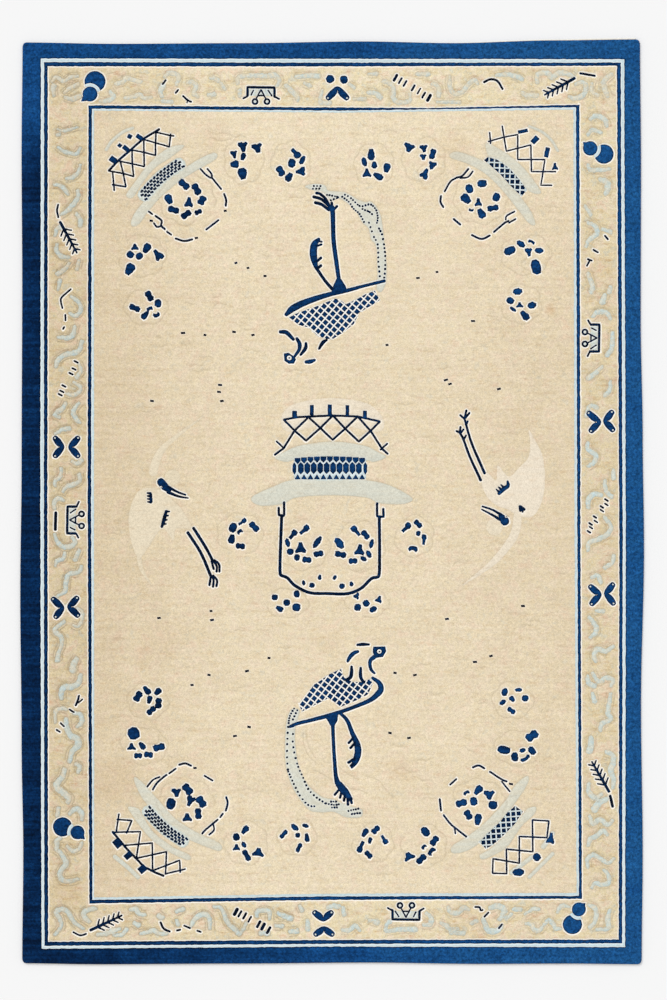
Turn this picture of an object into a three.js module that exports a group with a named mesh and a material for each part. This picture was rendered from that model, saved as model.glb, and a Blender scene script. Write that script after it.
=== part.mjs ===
// Peking rug: one hand-knotted carpet, lying flat, pile side up.
// Millimetres, +Z up. X runs across the rug, Y along it, and the origin is the middle of its underside.
import * as THREE from "three";

// Driving dimensions
const WIDTH = 1840;
const LENGTH = 2740;
const PILE_TOP = 10; // foundation and low clipped pile together
const CORNER_RADIUS = 11; // worn round, as a knotted corner is

// How far each edge runs outside (+) or inside (-) a true rectangle.
// at: 0 to 1 along the edge, from the -X or -Y end. out: millimetres.
const LEFT_EDGE = [
  { at: 0, out: 0 },
  { at: 0.12, out: -3 },
  { at: 0.24, out: 2 },
  { at: 0.4, out: 6 },
  { at: 0.54, out: 2 },
  { at: 0.74, out: 0 },
  { at: 0.88, out: 2 },
  { at: 1, out: -1 },
];
const RIGHT_EDGE = [
  { at: 0, out: 1 },
  { at: 0.12, out: 4 },
  { at: 0.28, out: -1 },
  { at: 0.45, out: 8 },
  { at: 0.57, out: 4 },
  { at: 0.7, out: -2 },
  { at: 0.86, out: -1 },
  { at: 1, out: -4 },
];
const NEAR_EDGE = [
  { at: 0, out: -1 },
  { at: 0.12, out: 2 },
  { at: 0.34, out: 0 },
  { at: 0.56, out: -3 },
  { at: 0.74, out: 1 },
  { at: 0.88, out: 0 },
  { at: 1, out: 2 },
];
const FAR_EDGE = [
  { at: 0, out: 0 },
  { at: 0.15, out: -4 },
  { at: 0.36, out: -2 },
  { at: 0.55, out: 3 },
  { at: 0.7, out: -2 },
  { at: 0.86, out: 6 },
  { at: 1, out: 9 },
];

// Section of the rim, from the underside up and in to the level pile.
// inset: millimetres in from the edge. height: share of the rug's thickness.
const RIM_SECTION = [
  { inset: 2.5, height: 0 },
  { inset: 0.4, height: 0.2 },
  { inset: 0, height: 0.45 },
  { inset: 1, height: 0.75 },
  { inset: 4, height: 0.93 },
  { inset: 11, height: 1 },
];
const FIELD_INSETS = [150, 330, 520, 720]; // rows of points on the pile, in from the edge

const POINTS_ROUND = 160; // points round the outline
const TREAD = 0.5; // unevenness of the trodden pile
const TREAD_WAVES = [
  { along: 1310, across: 980, turn: 0.6 },
  { along: -760, across: 1450, turn: 2.1 },
  { along: 2100, across: -830, turn: 4.4 },
];

const WOOL = new THREE.MeshStandardMaterial({
  name: "ivory and indigo wool pile",
  color: 0xd9cba8,
  roughness: 0.95,
  metalness: 0,
});

// Smooth value of an edge's table at a share of the way along it.
function edgeOut(table, share) {
  const s = THREE.MathUtils.clamp(share, 0, 1);
  const next = Math.max(1, table.findIndex((row) => row.at >= s));
  const [a, b] = [table[next - 1], table[next]];
  const t = THREE.MathUtils.smoothstep(s, a.at, b.at);
  return THREE.MathUtils.lerp(a.out, b.out, t);
}

// Moves a point of the true rectangle to its place on the uneven rug.
function laid(x, y) {
  const u = x / WIDTH + 0.5;
  const v = y / LENGTH + 0.5;
  const dx = THREE.MathUtils.lerp(-edgeOut(LEFT_EDGE, v), edgeOut(RIGHT_EDGE, v), u);
  const dy = THREE.MathUtils.lerp(-edgeOut(NEAR_EDGE, u), edgeOut(FAR_EDGE, u), v);
  return [x + dx, y + dy];
}

// Rectangle with worn corners, counter-clockwise, as evenly spaced points.
function trueOutline() {
  const [hx, hy, r] = [WIDTH / 2, LENGTH / 2, CORNER_RADIUS];
  const path = new THREE.Path();
  path.moveTo(-hx + r, -hy);
  path.lineTo(hx - r, -hy);
  path.absarc(hx - r, -hy + r, r, -Math.PI / 2, 0);
  path.lineTo(hx, hy - r);
  path.absarc(hx - r, hy - r, r, 0, Math.PI / 2);
  path.lineTo(-hx + r, hy);
  path.absarc(-hx + r, hy - r, r, Math.PI / 2, Math.PI);
  path.lineTo(-hx, -hy + r);
  path.absarc(-hx + r, -hy + r, r, Math.PI, 1.5 * Math.PI);
  const corners = path.getPoints(3);
  const sides = path.getSpacedPoints(POINTS_ROUND).slice(0, -1);
  const nearCorner = (p) => hx - Math.abs(p.x) < 3 * r && hy - Math.abs(p.y) < 3 * r;
  const angle = (p) => Math.atan2(p.y / hy, p.x / hx);
  const all = [...corners, ...sides.filter((p) => !nearCorner(p))];
  const sorted = all.sort((p, q) => angle(p) - angle(q));
  return sorted.filter((p, i) => i === 0 || p.distanceTo(sorted[i - 1]) > 0.5);
}

// Height of the trodden pile over its mean, fading to nothing at the rim.
function tread(x, y, inset) {
  const fade = THREE.MathUtils.smoothstep(inset, 0, FIELD_INSETS[0]);
  const sum = TREAD_WAVES.reduce(
    (total, w) => total + Math.sin((2 * Math.PI * x) / w.across + (2 * Math.PI * y) / w.along + w.turn),
    0,
  );
  return (TREAD * fade * sum) / TREAD_WAVES.length;
}

// One closed row of points, all the same distance in from the edge.
function ring(outline, inset, height) {
  const [kx, ky] = [1 - (2 * inset) / WIDTH, 1 - (2 * inset) / LENGTH];
  return outline.map((p) => {
    const [x, y] = laid(p.x * kx, p.y * ky);
    const z = height === 0 ? 0 : height * PILE_TOP + tread(x, y, inset);
    return new THREE.Vector3(x, y, z);
  });
}

function rugGeometry() {
  const outline = trueOutline();
  const count = outline.length;
  const rings = [
    ...RIM_SECTION.map((row) => ring(outline, row.inset, row.height)),
    ...FIELD_INSETS.map((inset) => ring(outline, inset, 1)),
  ];
  const index = [];
  for (let k = 0; k + 1 < rings.length; k += 1) {
    for (let i = 0; i < count; i += 1) {
      const j = (i + 1) % count;
      const [a, b, c, d] = [k * count + i, k * count + j, (k + 1) * count + j, (k + 1) * count + i];
      index.push(a, b, c, a, c, d);
    }
  }
  const flat = (points) => points.map((p) => new THREE.Vector2(p.x, p.y));
  const under = THREE.ShapeUtils.triangulateShape(flat(rings[0]), []);
  under.forEach(([a, b, c]) => index.push(c, b, a));
  const last = (rings.length - 1) * count;
  const middle = THREE.ShapeUtils.triangulateShape(flat(rings.at(-1)), []);
  middle.forEach(([a, b, c]) => index.push(last + a, last + b, last + c));
  const geometry = new THREE.BufferGeometry().setFromPoints(rings.flat());
  geometry.setIndex(index);
  geometry.computeBoundingBox();
  const middleOf = geometry.boundingBox.getCenter(new THREE.Vector3());
  geometry.translate(-middleOf.x, -middleOf.y, 0);
  geometry.computeVertexNormals();
  return geometry;
}

const rug = new THREE.Mesh(rugGeometry(), WOOL);
rug.name = "rug";

const part = new THREE.Group();
part.name = "peking rug";
part.add(rug);

export default part;
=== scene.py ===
# Peking rug: one hand-knotted wool carpet, lying flat on a pale floor, pile side up.
# The pattern is a weaver's cartoon on squared paper, drawn from strokes, petals and
# plain outlines. It is knotted into a pile with a clipped groove along every change of colour.
import math
from collections import namedtuple

import bpy
import numpy as np
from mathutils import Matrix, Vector
from mathutils.geometry import delaunay_2d_cdt
from mathutils.kdtree import KDTree


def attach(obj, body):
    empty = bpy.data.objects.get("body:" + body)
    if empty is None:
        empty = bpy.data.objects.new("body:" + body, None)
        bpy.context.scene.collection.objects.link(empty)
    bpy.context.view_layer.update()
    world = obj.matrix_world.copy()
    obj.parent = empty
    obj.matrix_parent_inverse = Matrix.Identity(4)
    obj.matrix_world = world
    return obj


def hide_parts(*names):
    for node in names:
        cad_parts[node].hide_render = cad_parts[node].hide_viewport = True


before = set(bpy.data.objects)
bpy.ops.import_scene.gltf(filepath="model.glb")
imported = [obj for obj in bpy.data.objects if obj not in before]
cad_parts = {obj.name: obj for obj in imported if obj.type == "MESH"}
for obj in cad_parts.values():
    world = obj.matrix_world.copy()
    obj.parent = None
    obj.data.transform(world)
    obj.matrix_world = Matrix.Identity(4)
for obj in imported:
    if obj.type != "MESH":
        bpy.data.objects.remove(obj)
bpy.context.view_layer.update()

MM = 0.001
rng = np.random.default_rng(20)

# Sizes of the rug, in millimetres
WIDTH = 1840
LENGTH = 2740
PILE_TOP = 10
CORNER_RADIUS = 11
SQUARE = 2.972  # one square of the cartoon: about one knot, and one pixel of the photo
MIDDLE_SQUARE = (331.75, 503)  # across and down the cartoon, at the rug's middle
BACK_HEIGHT = 0.2  # cotton foundation over the floor
GROOVE = 1.9  # clipped round a motif
GUARD_GROOVE = 1.2
SOFT_GROOVE = 0.3  # between two light colours that run together
LINE_GROOVE = 0.9  # clipped into plain ivory
BORDER_IN = 205  # millimetres from the edge to the inner guards
SCROLL_GROOVE = 1.2
# deeper grooves beside the scrolls on the left side and the near end, for darker painted shade and dust
SHADED_DUSTY_SCROLL_GROOVE = 1.8
TUFT_UNEVEN = 0.22  # one tuft against the next
TREAD = 0.5  # rise and fall of the trodden pile

# How far each edge runs outside (+) or inside (-) a true rectangle.
# Columns: share of the way along, from the -X or -Y end; millimetres out.
LEFT_EDGE = [(0, 0), (0.12, -3), (0.24, 2), (0.4, 6), (0.54, 2), (0.74, 0), (0.88, 2), (1, -1)]
RIGHT_EDGE = [(0, 1), (0.12, 4), (0.28, -1), (0.45, 8), (0.57, 4), (0.7, -2), (0.86, -1), (1, -4)]
NEAR_EDGE = [(0, -1), (0.12, 2), (0.34, 0), (0.56, -3), (0.74, 1), (0.88, 0), (1, 2)]
FAR_EDGE = [(0, 0), (0.15, -4), (0.36, -2), (0.55, 3), (0.7, -2), (0.86, 6), (1, 9)]

# Columns: millimetres along, millimetres across, turn in radians
TREAD_WAVES = [(1310, 980, 0.6), (-760, 1450, 2.1), (2100, -830, 4.4)]

# Rim of the rug, from the pile down to the foundation.
# Columns: millimetres in from the edge, height in millimetres
RIM = [(11, 10), (4, 9.3), (1, 7.5), (0, 4.5), (0.4, 2), (2.5, BACK_HEIGHT)]
PILE_RIM = 2  # the row where the level pile ends and the side begins

INDIGO, IVORY, PALE, WHITE = range(4)
Shape = namedtuple("Shape", "dye lot outline groove")
cartoon = []  # shapes from the ground up: a later one covers those before it
clipped_lines = []  # open lines clipped into plain pile, as rows of points
clipped_depths = []  # how deep each of those lines is cut, in millimetres
scroll_lines = []  # lines that run beside the border's scrolls, each with its depth


def eased(low, high, value):
    """Smooth step from 0 at low to 1 at high."""
    t = np.clip((value - low) / (high - low), 0, 1)
    return t * t * (3 - 2 * t)


def edge_out(table, share):
    """Millimetres out of true, at a share of the way along an edge."""
    share = np.clip(share, 0, 1)
    at, out = np.array(table, float).T
    k = np.clip(np.searchsorted(at, share) - 1, 0, len(at) - 2)
    return out[k] + (out[k + 1] - out[k]) * eased(at[k], at[k + 1], share)


def laid(x, y):
    """Moves points of the true rectangle to their places on the uneven rug."""
    u = x / WIDTH + 0.5
    v = y / LENGTH + 0.5
    dx = -edge_out(LEFT_EDGE, v) * (1 - u) + edge_out(RIGHT_EDGE, v) * u
    dy = -edge_out(NEAR_EDGE, u) * (1 - v) + edge_out(FAR_EDGE, u) * v
    return np.stack([x + dx, y + dy], axis=-1)


def ring(inset, step=7.4):
    """Closed row of points round the rug, all the same distance in from its edge."""
    hx, hy, r = WIDTH / 2, LENGTH / 2, CORNER_RADIUS
    points = []
    corners = [(hx - r, -hy + r, -90), (hx - r, hy - r, 0), (-hx + r, hy - r, 90), (-hx + r, -hy + r, 180)]
    for k, (cx, cy, start) in enumerate(corners):
        for turn in (0, 30, 60, 90):
            a = math.radians(start + turn)
            points.append((cx + r * math.cos(a), cy + r * math.sin(a)))
        nx, ny, next_start = corners[(k + 1) % 4]
        a = math.radians(next_start)
        end = (nx + r * math.cos(a), ny + r * math.sin(a))
        steps = round(math.dist(points[-1], end) / step)
        begin = points[-1]
        for i in range(1, steps):
            points.append(tuple(begin[j] + (end[j] - begin[j]) * i / steps for j in (0, 1)))
    x, y = np.array(points).T
    return laid(x * (1 - 2 * inset / WIDTH), y * (1 - 2 * inset / LENGTH))


widest = ring(0)
MIDDLE = (widest.max(axis=0) + widest.min(axis=0)) / 2  # the CAD part is centred on this


def to_mm(squares):
    """Cartoon squares to millimetres in the rug's frame."""
    p = np.asarray(squares, float)
    x = (p[:, 0] - MIDDLE_SQUARE[0]) * SQUARE
    y = (MIDDLE_SQUARE[1] - p[:, 1]) * SQUARE
    return np.stack([x, y], axis=-1) - MIDDLE


def to_squares(mm):
    """Millimetres, before centring, to cartoon squares."""
    p = np.asarray(mm, float)
    return np.stack([MIDDLE_SQUARE[0] + p[:, 0] / SQUARE, MIDDLE_SQUARE[1] - p[:, 1] / SQUARE], axis=-1)


def inset_of(mm):
    """Distance of points in from the rug's edge, in millimetres."""
    x, y = (np.asarray(mm) + MIDDLE).T
    u = x / WIDTH + 0.5
    v = y / LENGTH + 0.5
    dx = np.minimum(x + WIDTH / 2 + edge_out(LEFT_EDGE, v), WIDTH / 2 + edge_out(RIGHT_EDGE, v) - x)
    dy = np.minimum(y + LENGTH / 2 + edge_out(NEAR_EDGE, u), LENGTH / 2 + edge_out(FAR_EDGE, u) - y)
    r = CORNER_RADIUS
    round_corner = r - np.hypot(r - dx, r - dy)
    return np.where((dx < r) & (dy < r), round_corner, np.minimum(dx, dy))


# Drawing on the cartoon

FINE = 1.3  # squares: a stroke no wider than twice this ends in a single point
LINE_STEP = 1.6  # squares between the points of a clipped line


def steps_between(points, step, soft):
    """Points about a step apart, on straight runs or on a soft curve through the given ones."""
    p = np.asarray(points, float)
    if len(p) < 3:
        soft = False
    out = []
    for i in range(len(p) - 1):
        b, c = p[i], p[i + 1]
        a = p[i - 1] if i else 2 * b - c
        d = p[i + 2] if i + 2 < len(p) else 2 * c - b
        n = max(1, round(math.dist(b[:2], c[:2]) / step))
        for t in np.arange(n) / n:
            if soft:
                bend = (2 * a - 5 * b + 4 * c - d) * t**2
                twist = (3 * b - a - 3 * c + d) * t**3
                out.append(0.5 * (2 * b + (c - a) * t + bend + twist))
            else:
                out.append(b + (c - b) * t)
    out.append(p[-1])
    return np.array(out)


def directions(line):
    """Unit vectors along a line and to its side, at each of its points."""
    along = np.gradient(line, axis=0)
    along /= np.linalg.norm(along, axis=1, keepdims=True)
    return along, np.stack([-along[:, 1], along[:, 0]], axis=-1)


def block(wide, high):
    """Corners of a rectangle about its middle."""
    return [(-wide / 2, -high / 2), (wide / 2, -high / 2), (wide / 2, high / 2), (-wide / 2, high / 2)]


def patch(dye, lot, corners, soft=False, step=1.5, shake=0.12, groove=GROOVE):
    """Fills a closed outline."""
    closed = [*corners, corners[0]]
    if soft:
        padded = [corners[-1], *closed, corners[1]]
        whole = steps_between(padded, step, True)
        first = max(1, round(math.dist(corners[-1], corners[0]) / step))
        last = max(1, round(math.dist(corners[0], corners[1]) / step))
        outline = whole[first : len(whole) - last - 1]
    else:
        outline = steps_between(closed, step, False)[:-1]
    outline = outline + rng.uniform(-shake, shake, outline.shape)
    x, y = outline.T
    if np.sum(x * np.roll(y, -1) - np.roll(x, -1) * y) < 0:
        outline = outline[::-1]
    cartoon.append(Shape(dye, lot, outline, groove))


def round_end(middle, side, along, half):
    """Points of a stroke's blunt end, from its one side to the other."""
    turns = np.linspace(0, math.pi, 5 if half > FINE else 3)[1:-1, None]
    return middle + half * (np.cos(turns) * side + 0.75 * np.sin(turns) * along)


def stroke(dye, lot, wide, through, soft=True, step=1.4, shake=0.1, groove=GROOVE):
    """A line of knots. wide is one width, or one for each point that the line runs through."""
    widths = wide if hasattr(wide, "__len__") else [wide] * len(through)
    if len(widths) < len(through):
        at = np.linspace(0, len(widths) - 1, len(through))
        widths = np.interp(at, np.arange(len(widths)), widths)
    path = steps_between([(*p, w) for p, w in zip(through, widths)], step, soft)
    p = path[:, :2]
    half = path[:, 2:] / 2
    along, side = directions(p)
    end = round_end(p[-1], side[-1], along[-1], half[-1, 0])
    start = round_end(p[0], -side[0], -along[0], half[0, 0])
    outline = np.vstack([p + side * half, end, (p - side * half)[::-1], start])
    outline = outline + rng.uniform(-shake, shake, outline.shape)
    cartoon.append(Shape(dye, lot, outline[::-1], groove))


def disc(dye, lot, x, y, radius, shake=0.12, groove=GROOVE):
    """Fills a circle."""
    count = max(6, round(radius * 4))
    turns = np.arange(count) * 2 * math.pi / count
    outline = np.stack([x + radius * np.cos(turns), y + radius * np.sin(turns)], axis=-1)
    cartoon.append(Shape(dye, lot, outline + rng.uniform(-shake, shake, outline.shape), groove))


def placed(points, origin, turn=0, flip=1):
    """Points of a small drawing, turned by degrees and set down at a square of the cartoon."""
    c, s = math.cos(math.radians(turn)), math.sin(math.radians(turn))
    return [(origin[0] + flip * x * c - y * s, origin[1] + flip * x * s + y * c) for x, y in points]


def inside(outline, point):
    """True if the point is within the outline."""
    x, y = point
    within = False
    for (ax, ay), (bx, by) in zip(outline, [*outline[1:], outline[0]]):
        if (ay > y) != (by > y) and x < ax + (y - ay) * (bx - ax) / (by - ay):
            within = not within
    return within


def clip_line(through, depth=LINE_GROOVE):
    """A groove clipped into plain pile, with no change of colour."""
    clipped_lines.append(steps_between(through, LINE_STEP, True))
    clipped_depths.append(depth)


# Guard stripes and grounds, nested from the edge inwards.
# Columns: dye, lot, groove, corners and middles of sides clockwise from the top left
FRAMES = [
    (PALE, 0.1, GUARD_GROOVE, [(40.9, 58.5), (332, 58.8), (624.2, 59.2), (625.8, 540), (625.1, 947.2),
                               (332, 946.6), (41.6, 948.8), (40.3, 500)]),
    (INDIGO, 0.52, GUARD_GROOVE, [(44, 62), (332, 62.6), (620.9, 62.5), (622.8, 540), (622.2, 943.4),
                                  (332, 944), (44.3, 945.9), (43.8, 500)]),
    (IVORY, 0.0, GUARD_GROOVE, [(47.8, 66.3), (332, 66.4), (616.9, 65.8), (619.3, 540), (618.7, 939.6),
                                (332, 939.9), (48.2, 941.8), (47.4, 500)]),
]
INNER_FRAMES = [
    (INDIGO, 0.52, GUARD_GROOVE, [(88.4, 105.2), (340, 107.4), (430, 108), (579.5, 104.6), (580.6, 540),
                                  (582, 898.9), (332, 900), (89.3, 903.6), (87.5, 500)]),
    (PALE, 0.1, GUARD_GROOVE, [(91.8, 108.6), (340, 110.6), (576, 107.3), (577.4, 540), (579, 896),
                               (332, 896.4), (92.4, 900), (91.1, 500)]),
    (IVORY, 1.0, SOFT_GROOVE, [(94.1, 110.6), (340, 112.6), (573.4, 109.6), (574.6, 540), (576.6, 893),
                               (332, 893.6), (94.2, 897.6), (94, 500)]),
]

# Cloud scrolls of the border, as pale ribbons. Columns: width, points that the ribbon runs through
SCROLLS = [
    # far end
    (4, [(52, 82), (56, 77), (64, 81), (70, 77), (78, 76)]),
    (4.5, [(54, 96), (53, 90), (54, 85)]),
    (4, [(64, 93), (70, 88), (78, 84)]),
    (4.5, [(65, 97), (72, 99), (80, 96)]),
    (4.5, [(115.6, 84), (122.6, 82), (126.6, 78), (133.6, 80), (141.5, 82)]),
    (4.5, [(100, 101), (106.7, 101), (113.7, 97), (109.7, 91)]),
    (4, [(124.6, 98), (133.6, 97), (139.5, 94), (143.5, 98), (151.5, 97)]),
    (4.5, [(164.4, 77), (169.4, 73), (177.3, 75), (178.3, 79), (176.3, 85)]),
    (4.5, [(162.4, 97), (160.4, 91), (163.4, 85)]),
    (3.5, [(161.4, 101), (172.4, 102)]),
    (4.5, [(187.3, 83), (192, 82), (196, 86), (194, 93), (198, 97)]),
    (4, [(210, 78), (215, 78), (219, 81)]),
    (4, [(221, 83), (225, 89)]),
    (4.5, [(208, 95), (215, 94)]),
    (4.5, [(238, 84), (239, 77), (252, 75.5), (267.6, 76), (274.6, 75), (279.6, 80), (276.6, 86)]),
    (4, [(239.8, 97), (239.8, 90)]),
    (4.5, [(295.5, 77), (309.4, 75.5), (319.4, 76)]),
    (4.5, [(304.4, 83), (310.4, 86)]),
    (4.5, [(285.5, 85), (291.5, 91), (296.5, 96), (297.5, 101)]),
    (4, [(322.3, 90), (320.3, 102), (330, 103)]),
    (4, [(368.7, 74), (377.3, 74)]),
    (4, [(349.6, 84), (354.4, 88)]),
    (4.5, [(383, 81), (388.8, 83), (393.6, 88), (393.6, 98), (399.3, 102.5), (409, 101), (410, 93.5)]),
    (4.5, [(367.8, 92.5), (375.4, 93.5), (381, 98)]),
    (3.5, [(353.4, 99), (365.8, 99)]),
    (4.5, [(416.6, 74), (429, 74)]),
    (4.5, [(431.9, 83), (438.6, 87.8), (438.6, 96)]),
    (4.5, [(450, 77), (450, 87.8), (454.8, 93.5), (462.5, 91.6), (467, 86), (474, 80), (477.8, 84)]),
    (3.5, [(436.7, 102), (459.6, 102)]),
    (4.5, [(496.3, 75.3), (506.8, 74.4), (518.3, 77), (523, 80)]),
    (5, [(537.4, 83), (537.4, 74.5), (547, 73), (551.8, 77), (559.4, 73), (568, 74), (573.8, 77)]),
    (4.5, [(522, 92.5), (527.8, 95.4), (537.4, 95.4)]),
    (4.5, [(575.7, 84), (583.3, 82), (586.2, 87.8), (583.3, 95), (573.8, 98.3), (569, 96.4)]),
    (3.5, [(592, 83), (592, 91.6), (598.7, 95.4)]),
    (5, [(612, 73.8), (607, 78), (603.5, 83), (606, 91.5), (608, 96.4)]),
    # right side
    (4.5, [(590, 119.4), (596, 115.8), (604.7, 119.4), (607, 126.7)]),
    (4, [(587.7, 135), (592.5, 130), (601, 132.7)]),
    (4, [(588, 164), (590, 169.5), (599, 170), (610, 169)]),
    (5.5, [(600, 179), (607, 182), (608, 188), (605.5, 194.5)]),
    (4, [(585, 205.5), (591, 215)]),
    (4.5, [(587.7, 222.4), (595, 226), (597.4, 233), (590, 239.4), (586, 246.7)]),
    (4.5, [(602, 229), (611, 232)]),
    (4.5, [(588, 273), (592.5, 286.4), (591, 292.4)]),
    (4.5, [(610.7, 286), (609.5, 292.4)]),
    (5.5, [(605, 294.8), (602, 303)]),
    (4.5, [(592.5, 316.7), (598.6, 311.8), (607, 313), (610.7, 319)]),
    (4.5, [(612.5, 332.4), (612, 347), (607, 355.5)]),
    (4.5, [(602, 366.4), (596, 372.4), (588, 378.5)]),
    (4, [(610.7, 381), (609.5, 390.6), (604.7, 395.5)]),
    (4, [(586, 417), (590, 406), (597.4, 408)]),
    (4.5, [(587.7, 443), (588, 449.4), (596, 455.5), (593.8, 462.7), (588, 466.4)]),
    (4.5, [(613.5, 470), (613.5, 478.5)]),
    (4, [(604.7, 480), (606, 490.6), (612, 497)]),
    (5, [(588.5, 507.6), (589, 499), (595, 494), (602, 495.5)]),
    (4.5, [(604, 517), (610.7, 525.8), (608, 534), (598.6, 539), (589, 543), (588, 551)]),
    (4, [(614, 555), (612, 563), (604.7, 568)]),
    (4, [(591, 578), (597.4, 575.5), (601, 582.7)]),
    (4, [(596, 611), (603.5, 611)]),
    (4.5, [(589, 617), (595, 624.5), (596, 631.8), (590, 638)]),
    (4.5, [(613.5, 646.4), (606, 651), (597.4, 649), (593.8, 656), (596, 662)]),
    (4.5, [(592.5, 673), (598.6, 681.5), (606, 678), (613, 680), (611, 686.4)]),
    (4.5, [(588, 675.5), (588.5, 682.7), (595, 686)]),
    (4.5, [(610.7, 693.6), (609.5, 702), (608, 713), (610.7, 719), (602, 724), (600, 731)]),
    (4.5, [(592.5, 693.6), (595, 702)]),
    (5.5, [(591, 737), (591, 744.5), (589, 751.8)]),
    (5, [(606, 751.8), (613, 755.5), (613, 764), (610.7, 770), (613.5, 779.7), (613, 788)]),
    (4.5, [(589, 783), (589, 792), (595, 798), (602, 794)]),
    (6, [(606.7, 799), (598.7, 803.3), (594, 810)]),
    (4.5, [(589.5, 816), (593, 824), (599.8, 819.4), (607.8, 825), (613, 820.5)]),
    (4.5, [(588, 845.8), (590.6, 839), (597.5, 835.4), (603.3, 830.8), (607.8, 835.4)]),
    (4, [(588, 867.6), (587.5, 859.5), (593, 855), (599.8, 858.4), (609, 863), (614, 858.4)]),
    (4, [(591.8, 888), (595, 883), (602, 885), (609, 882.5), (607.8, 874), (603.3, 870)]),
    (4.5, [(589.5, 928), (595, 921.5), (596.4, 911), (593, 906.8), (588, 905)]),
    (4.5, [(597, 929.5), (608, 928.4), (607.8, 919), (610, 910)]),
    # near end
    (4, [(557.5, 913), (559.4, 907.5), (564, 905.5), (569, 907)]),
    (4, [(544, 924.7), (548.9, 920), (552.7, 923.8), (555.6, 928.5), (561, 928.5)]),
    (4.5, [(525.9, 923.8), (531.7, 924.7), (533.6, 929.5), (539, 930.4), (543, 926.6)]),
    (3.5, [(525, 914), (533.6, 909), (539, 909.4)]),
    (4.5, [(513, 909.4), (521, 909.4)]),
    (4, [(511.6, 914), (505.8, 919)]),
    (5.5, [(489.6, 908.5), (497, 906), (504, 909), (503, 915), (499, 920)]),
    (5.5, [(482.9, 919), (485.7, 925.7), (489, 931), (497, 931), (502, 925.7)]),
    (4.5, [(450, 933), (464, 933)]),
    (4.5, [(471, 923.8), (477, 921)]),
    (4.5, [(448, 907), (450, 912), (457.7, 913), (463.4, 908), (469, 910)]),
    (4, [(440.5, 922.8), (446, 925.7), (450, 929), (458.7, 929)]),
    (4.5, [(423, 924.7), (430, 924.7), (431, 918), (426, 913)]),
    (4.5, [(386, 931.5), (401, 929.5), (416.6, 929.5)]),
    (4, [(385.5, 931), (386.5, 924.7), (390.7, 921)]),
    (5, [(369.7, 920), (378, 922.8)]),
    (4.5, [(342, 930), (349.6, 930.4), (355, 926), (360, 931)]),
    (4.5, [(343, 907), (344, 915)]),
    (4.5, [(327.3, 908), (333.3, 906), (339, 907)]),
    (4.5, [(307.4, 920), (308, 930)]),
    (4.5, [(299.5, 906), (302.4, 911)]),
    (5, [(289.5, 932), (297.5, 931)]),
    (4.5, [(275.6, 926), (282.5, 926)]),
    (5, [(277.6, 913), (283.5, 916), (291.5, 919)]),
    (5, [(259.7, 933.5), (268.6, 933.5)]),
    (4.5, [(256.7, 917), (257.7, 911.5), (268.6, 911), (269.6, 919)]),
    (4.5, [(214, 907), (220.8, 908), (224, 914), (226, 920), (230, 926), (236, 930), (239, 934),
           (243, 930), (246, 923)]),
    (5, [(191, 926), (196, 918), (203, 914.5), (209, 918), (210, 929)]),
    (4.5, [(176.3, 912), (183.3, 909)]),
    (4, [(176.3, 920), (178.3, 925)]),
    (5.5, [(158, 915), (162, 918)]),
    (4.5, [(140.5, 934), (147.5, 932.5), (153.5, 930.5), (158.4, 933.5), (167.4, 934)]),
    (5, [(134, 923), (139, 926)]),
    (4.5, [(129.6, 910), (135.5, 909), (139.5, 914), (145.5, 915)]),
    (4.5, [(96.7, 935), (105.7, 934), (112.7, 930.8), (120, 929)]),
    (4, [(113, 935), (121.6, 934.8), (127, 929)]),
    (5, [(89.8, 922), (84, 917), (84.5, 912), (90.8, 909), (96, 909)]),
    (4.5, [(54.5, 935), (61, 927), (60, 919), (56, 913), (62, 909), (69, 914), (75, 923), (84, 929)]),
    # left side
    (5, [(56, 849.4), (60.8, 853), (64, 858), (66, 864), (61.8, 869), (59.8, 875), (63, 880.5), (71, 881),
         (78, 879)]),
    (4.5, [(61, 838.5), (57, 840.5), (56.5, 848)]),
    (4, [(66.8, 846), (72.7, 851), (79, 849), (82, 842.5)]),
    (5, [(69.5, 814), (75.5, 809), (81, 812.4), (82, 820)]),
    (4.5, [(58.5, 807.6), (57.3, 816)]),
    (6, [(64.6, 768.8), (62.4, 777), (56, 785.8), (62, 792), (69, 798), (67, 802.7)]),
    (4, [(75.5, 764), (79.4, 766.4), (78, 772.4)]),
    (6, [(65.8, 719), (67, 727.6), (70, 735), (77, 739), (78, 745.8), (72, 751.8), (69.5, 762)]),
    (4.5, [(74, 713), (80.6, 715), (81.5, 722.7), (76.7, 727)]),
    (4, [(55.5, 722.7), (55.5, 711.5), (62, 708.5), (67, 710)]),
    (5.5, [(80.6, 675), (78.5, 682.7), (72, 687), (65, 687), (61.5, 691.5), (61.5, 699)]),
    (6, [(77, 658.5), (73.5, 664.5), (73, 671)]),
    (5, [(58.5, 652), (57.3, 661)]),
    (4.5, [(64.6, 621), (56, 628), (55, 632), (61, 637), (61.5, 645), (58, 653)]),
    (3.5, [(76.7, 608), (82, 611), (82, 619), (78, 626.6), (73, 625)]),
    (4.5, [(81.5, 566), (78.5, 572.5), (69, 574), (66, 583), (65, 591), (57, 596.5)]),
    (5, [(79, 550), (75, 560)]),
    (4, [(64.6, 552.4), (63.4, 558.5), (57, 561), (55.5, 566)]),
    (4.5, [(54.5, 534), (57.3, 541.5), (63.4, 547), (71.9, 546), (75, 541.5), (72, 537)]),
    (4.5, [(54.5, 509), (54, 502.7), (58, 498.5), (64, 500.3)]),
    (4.5, [(79, 474), (79.5, 481), (73, 484.5), (66, 487), (62.5, 492)]),
    (4, [(61, 468), (60.5, 476), (55, 481), (55.5, 486)]),
    (4, [(72, 461), (77, 464), (82, 460)]),
    (4, [(55, 434), (62, 429.8), (70, 428.5)]),
    (4.5, [(79, 403), (73.5, 411), (75.5, 418), (80.5, 423)]),
    (4.5, [(65.8, 402.7), (62, 409), (55, 414.5), (60, 417.5)]),
    (4, [(73, 382), (80.6, 387), (78, 393), (72, 395), (66, 393.5)]),
    (4, [(79, 364), (81, 371), (76, 378)]),
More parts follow.
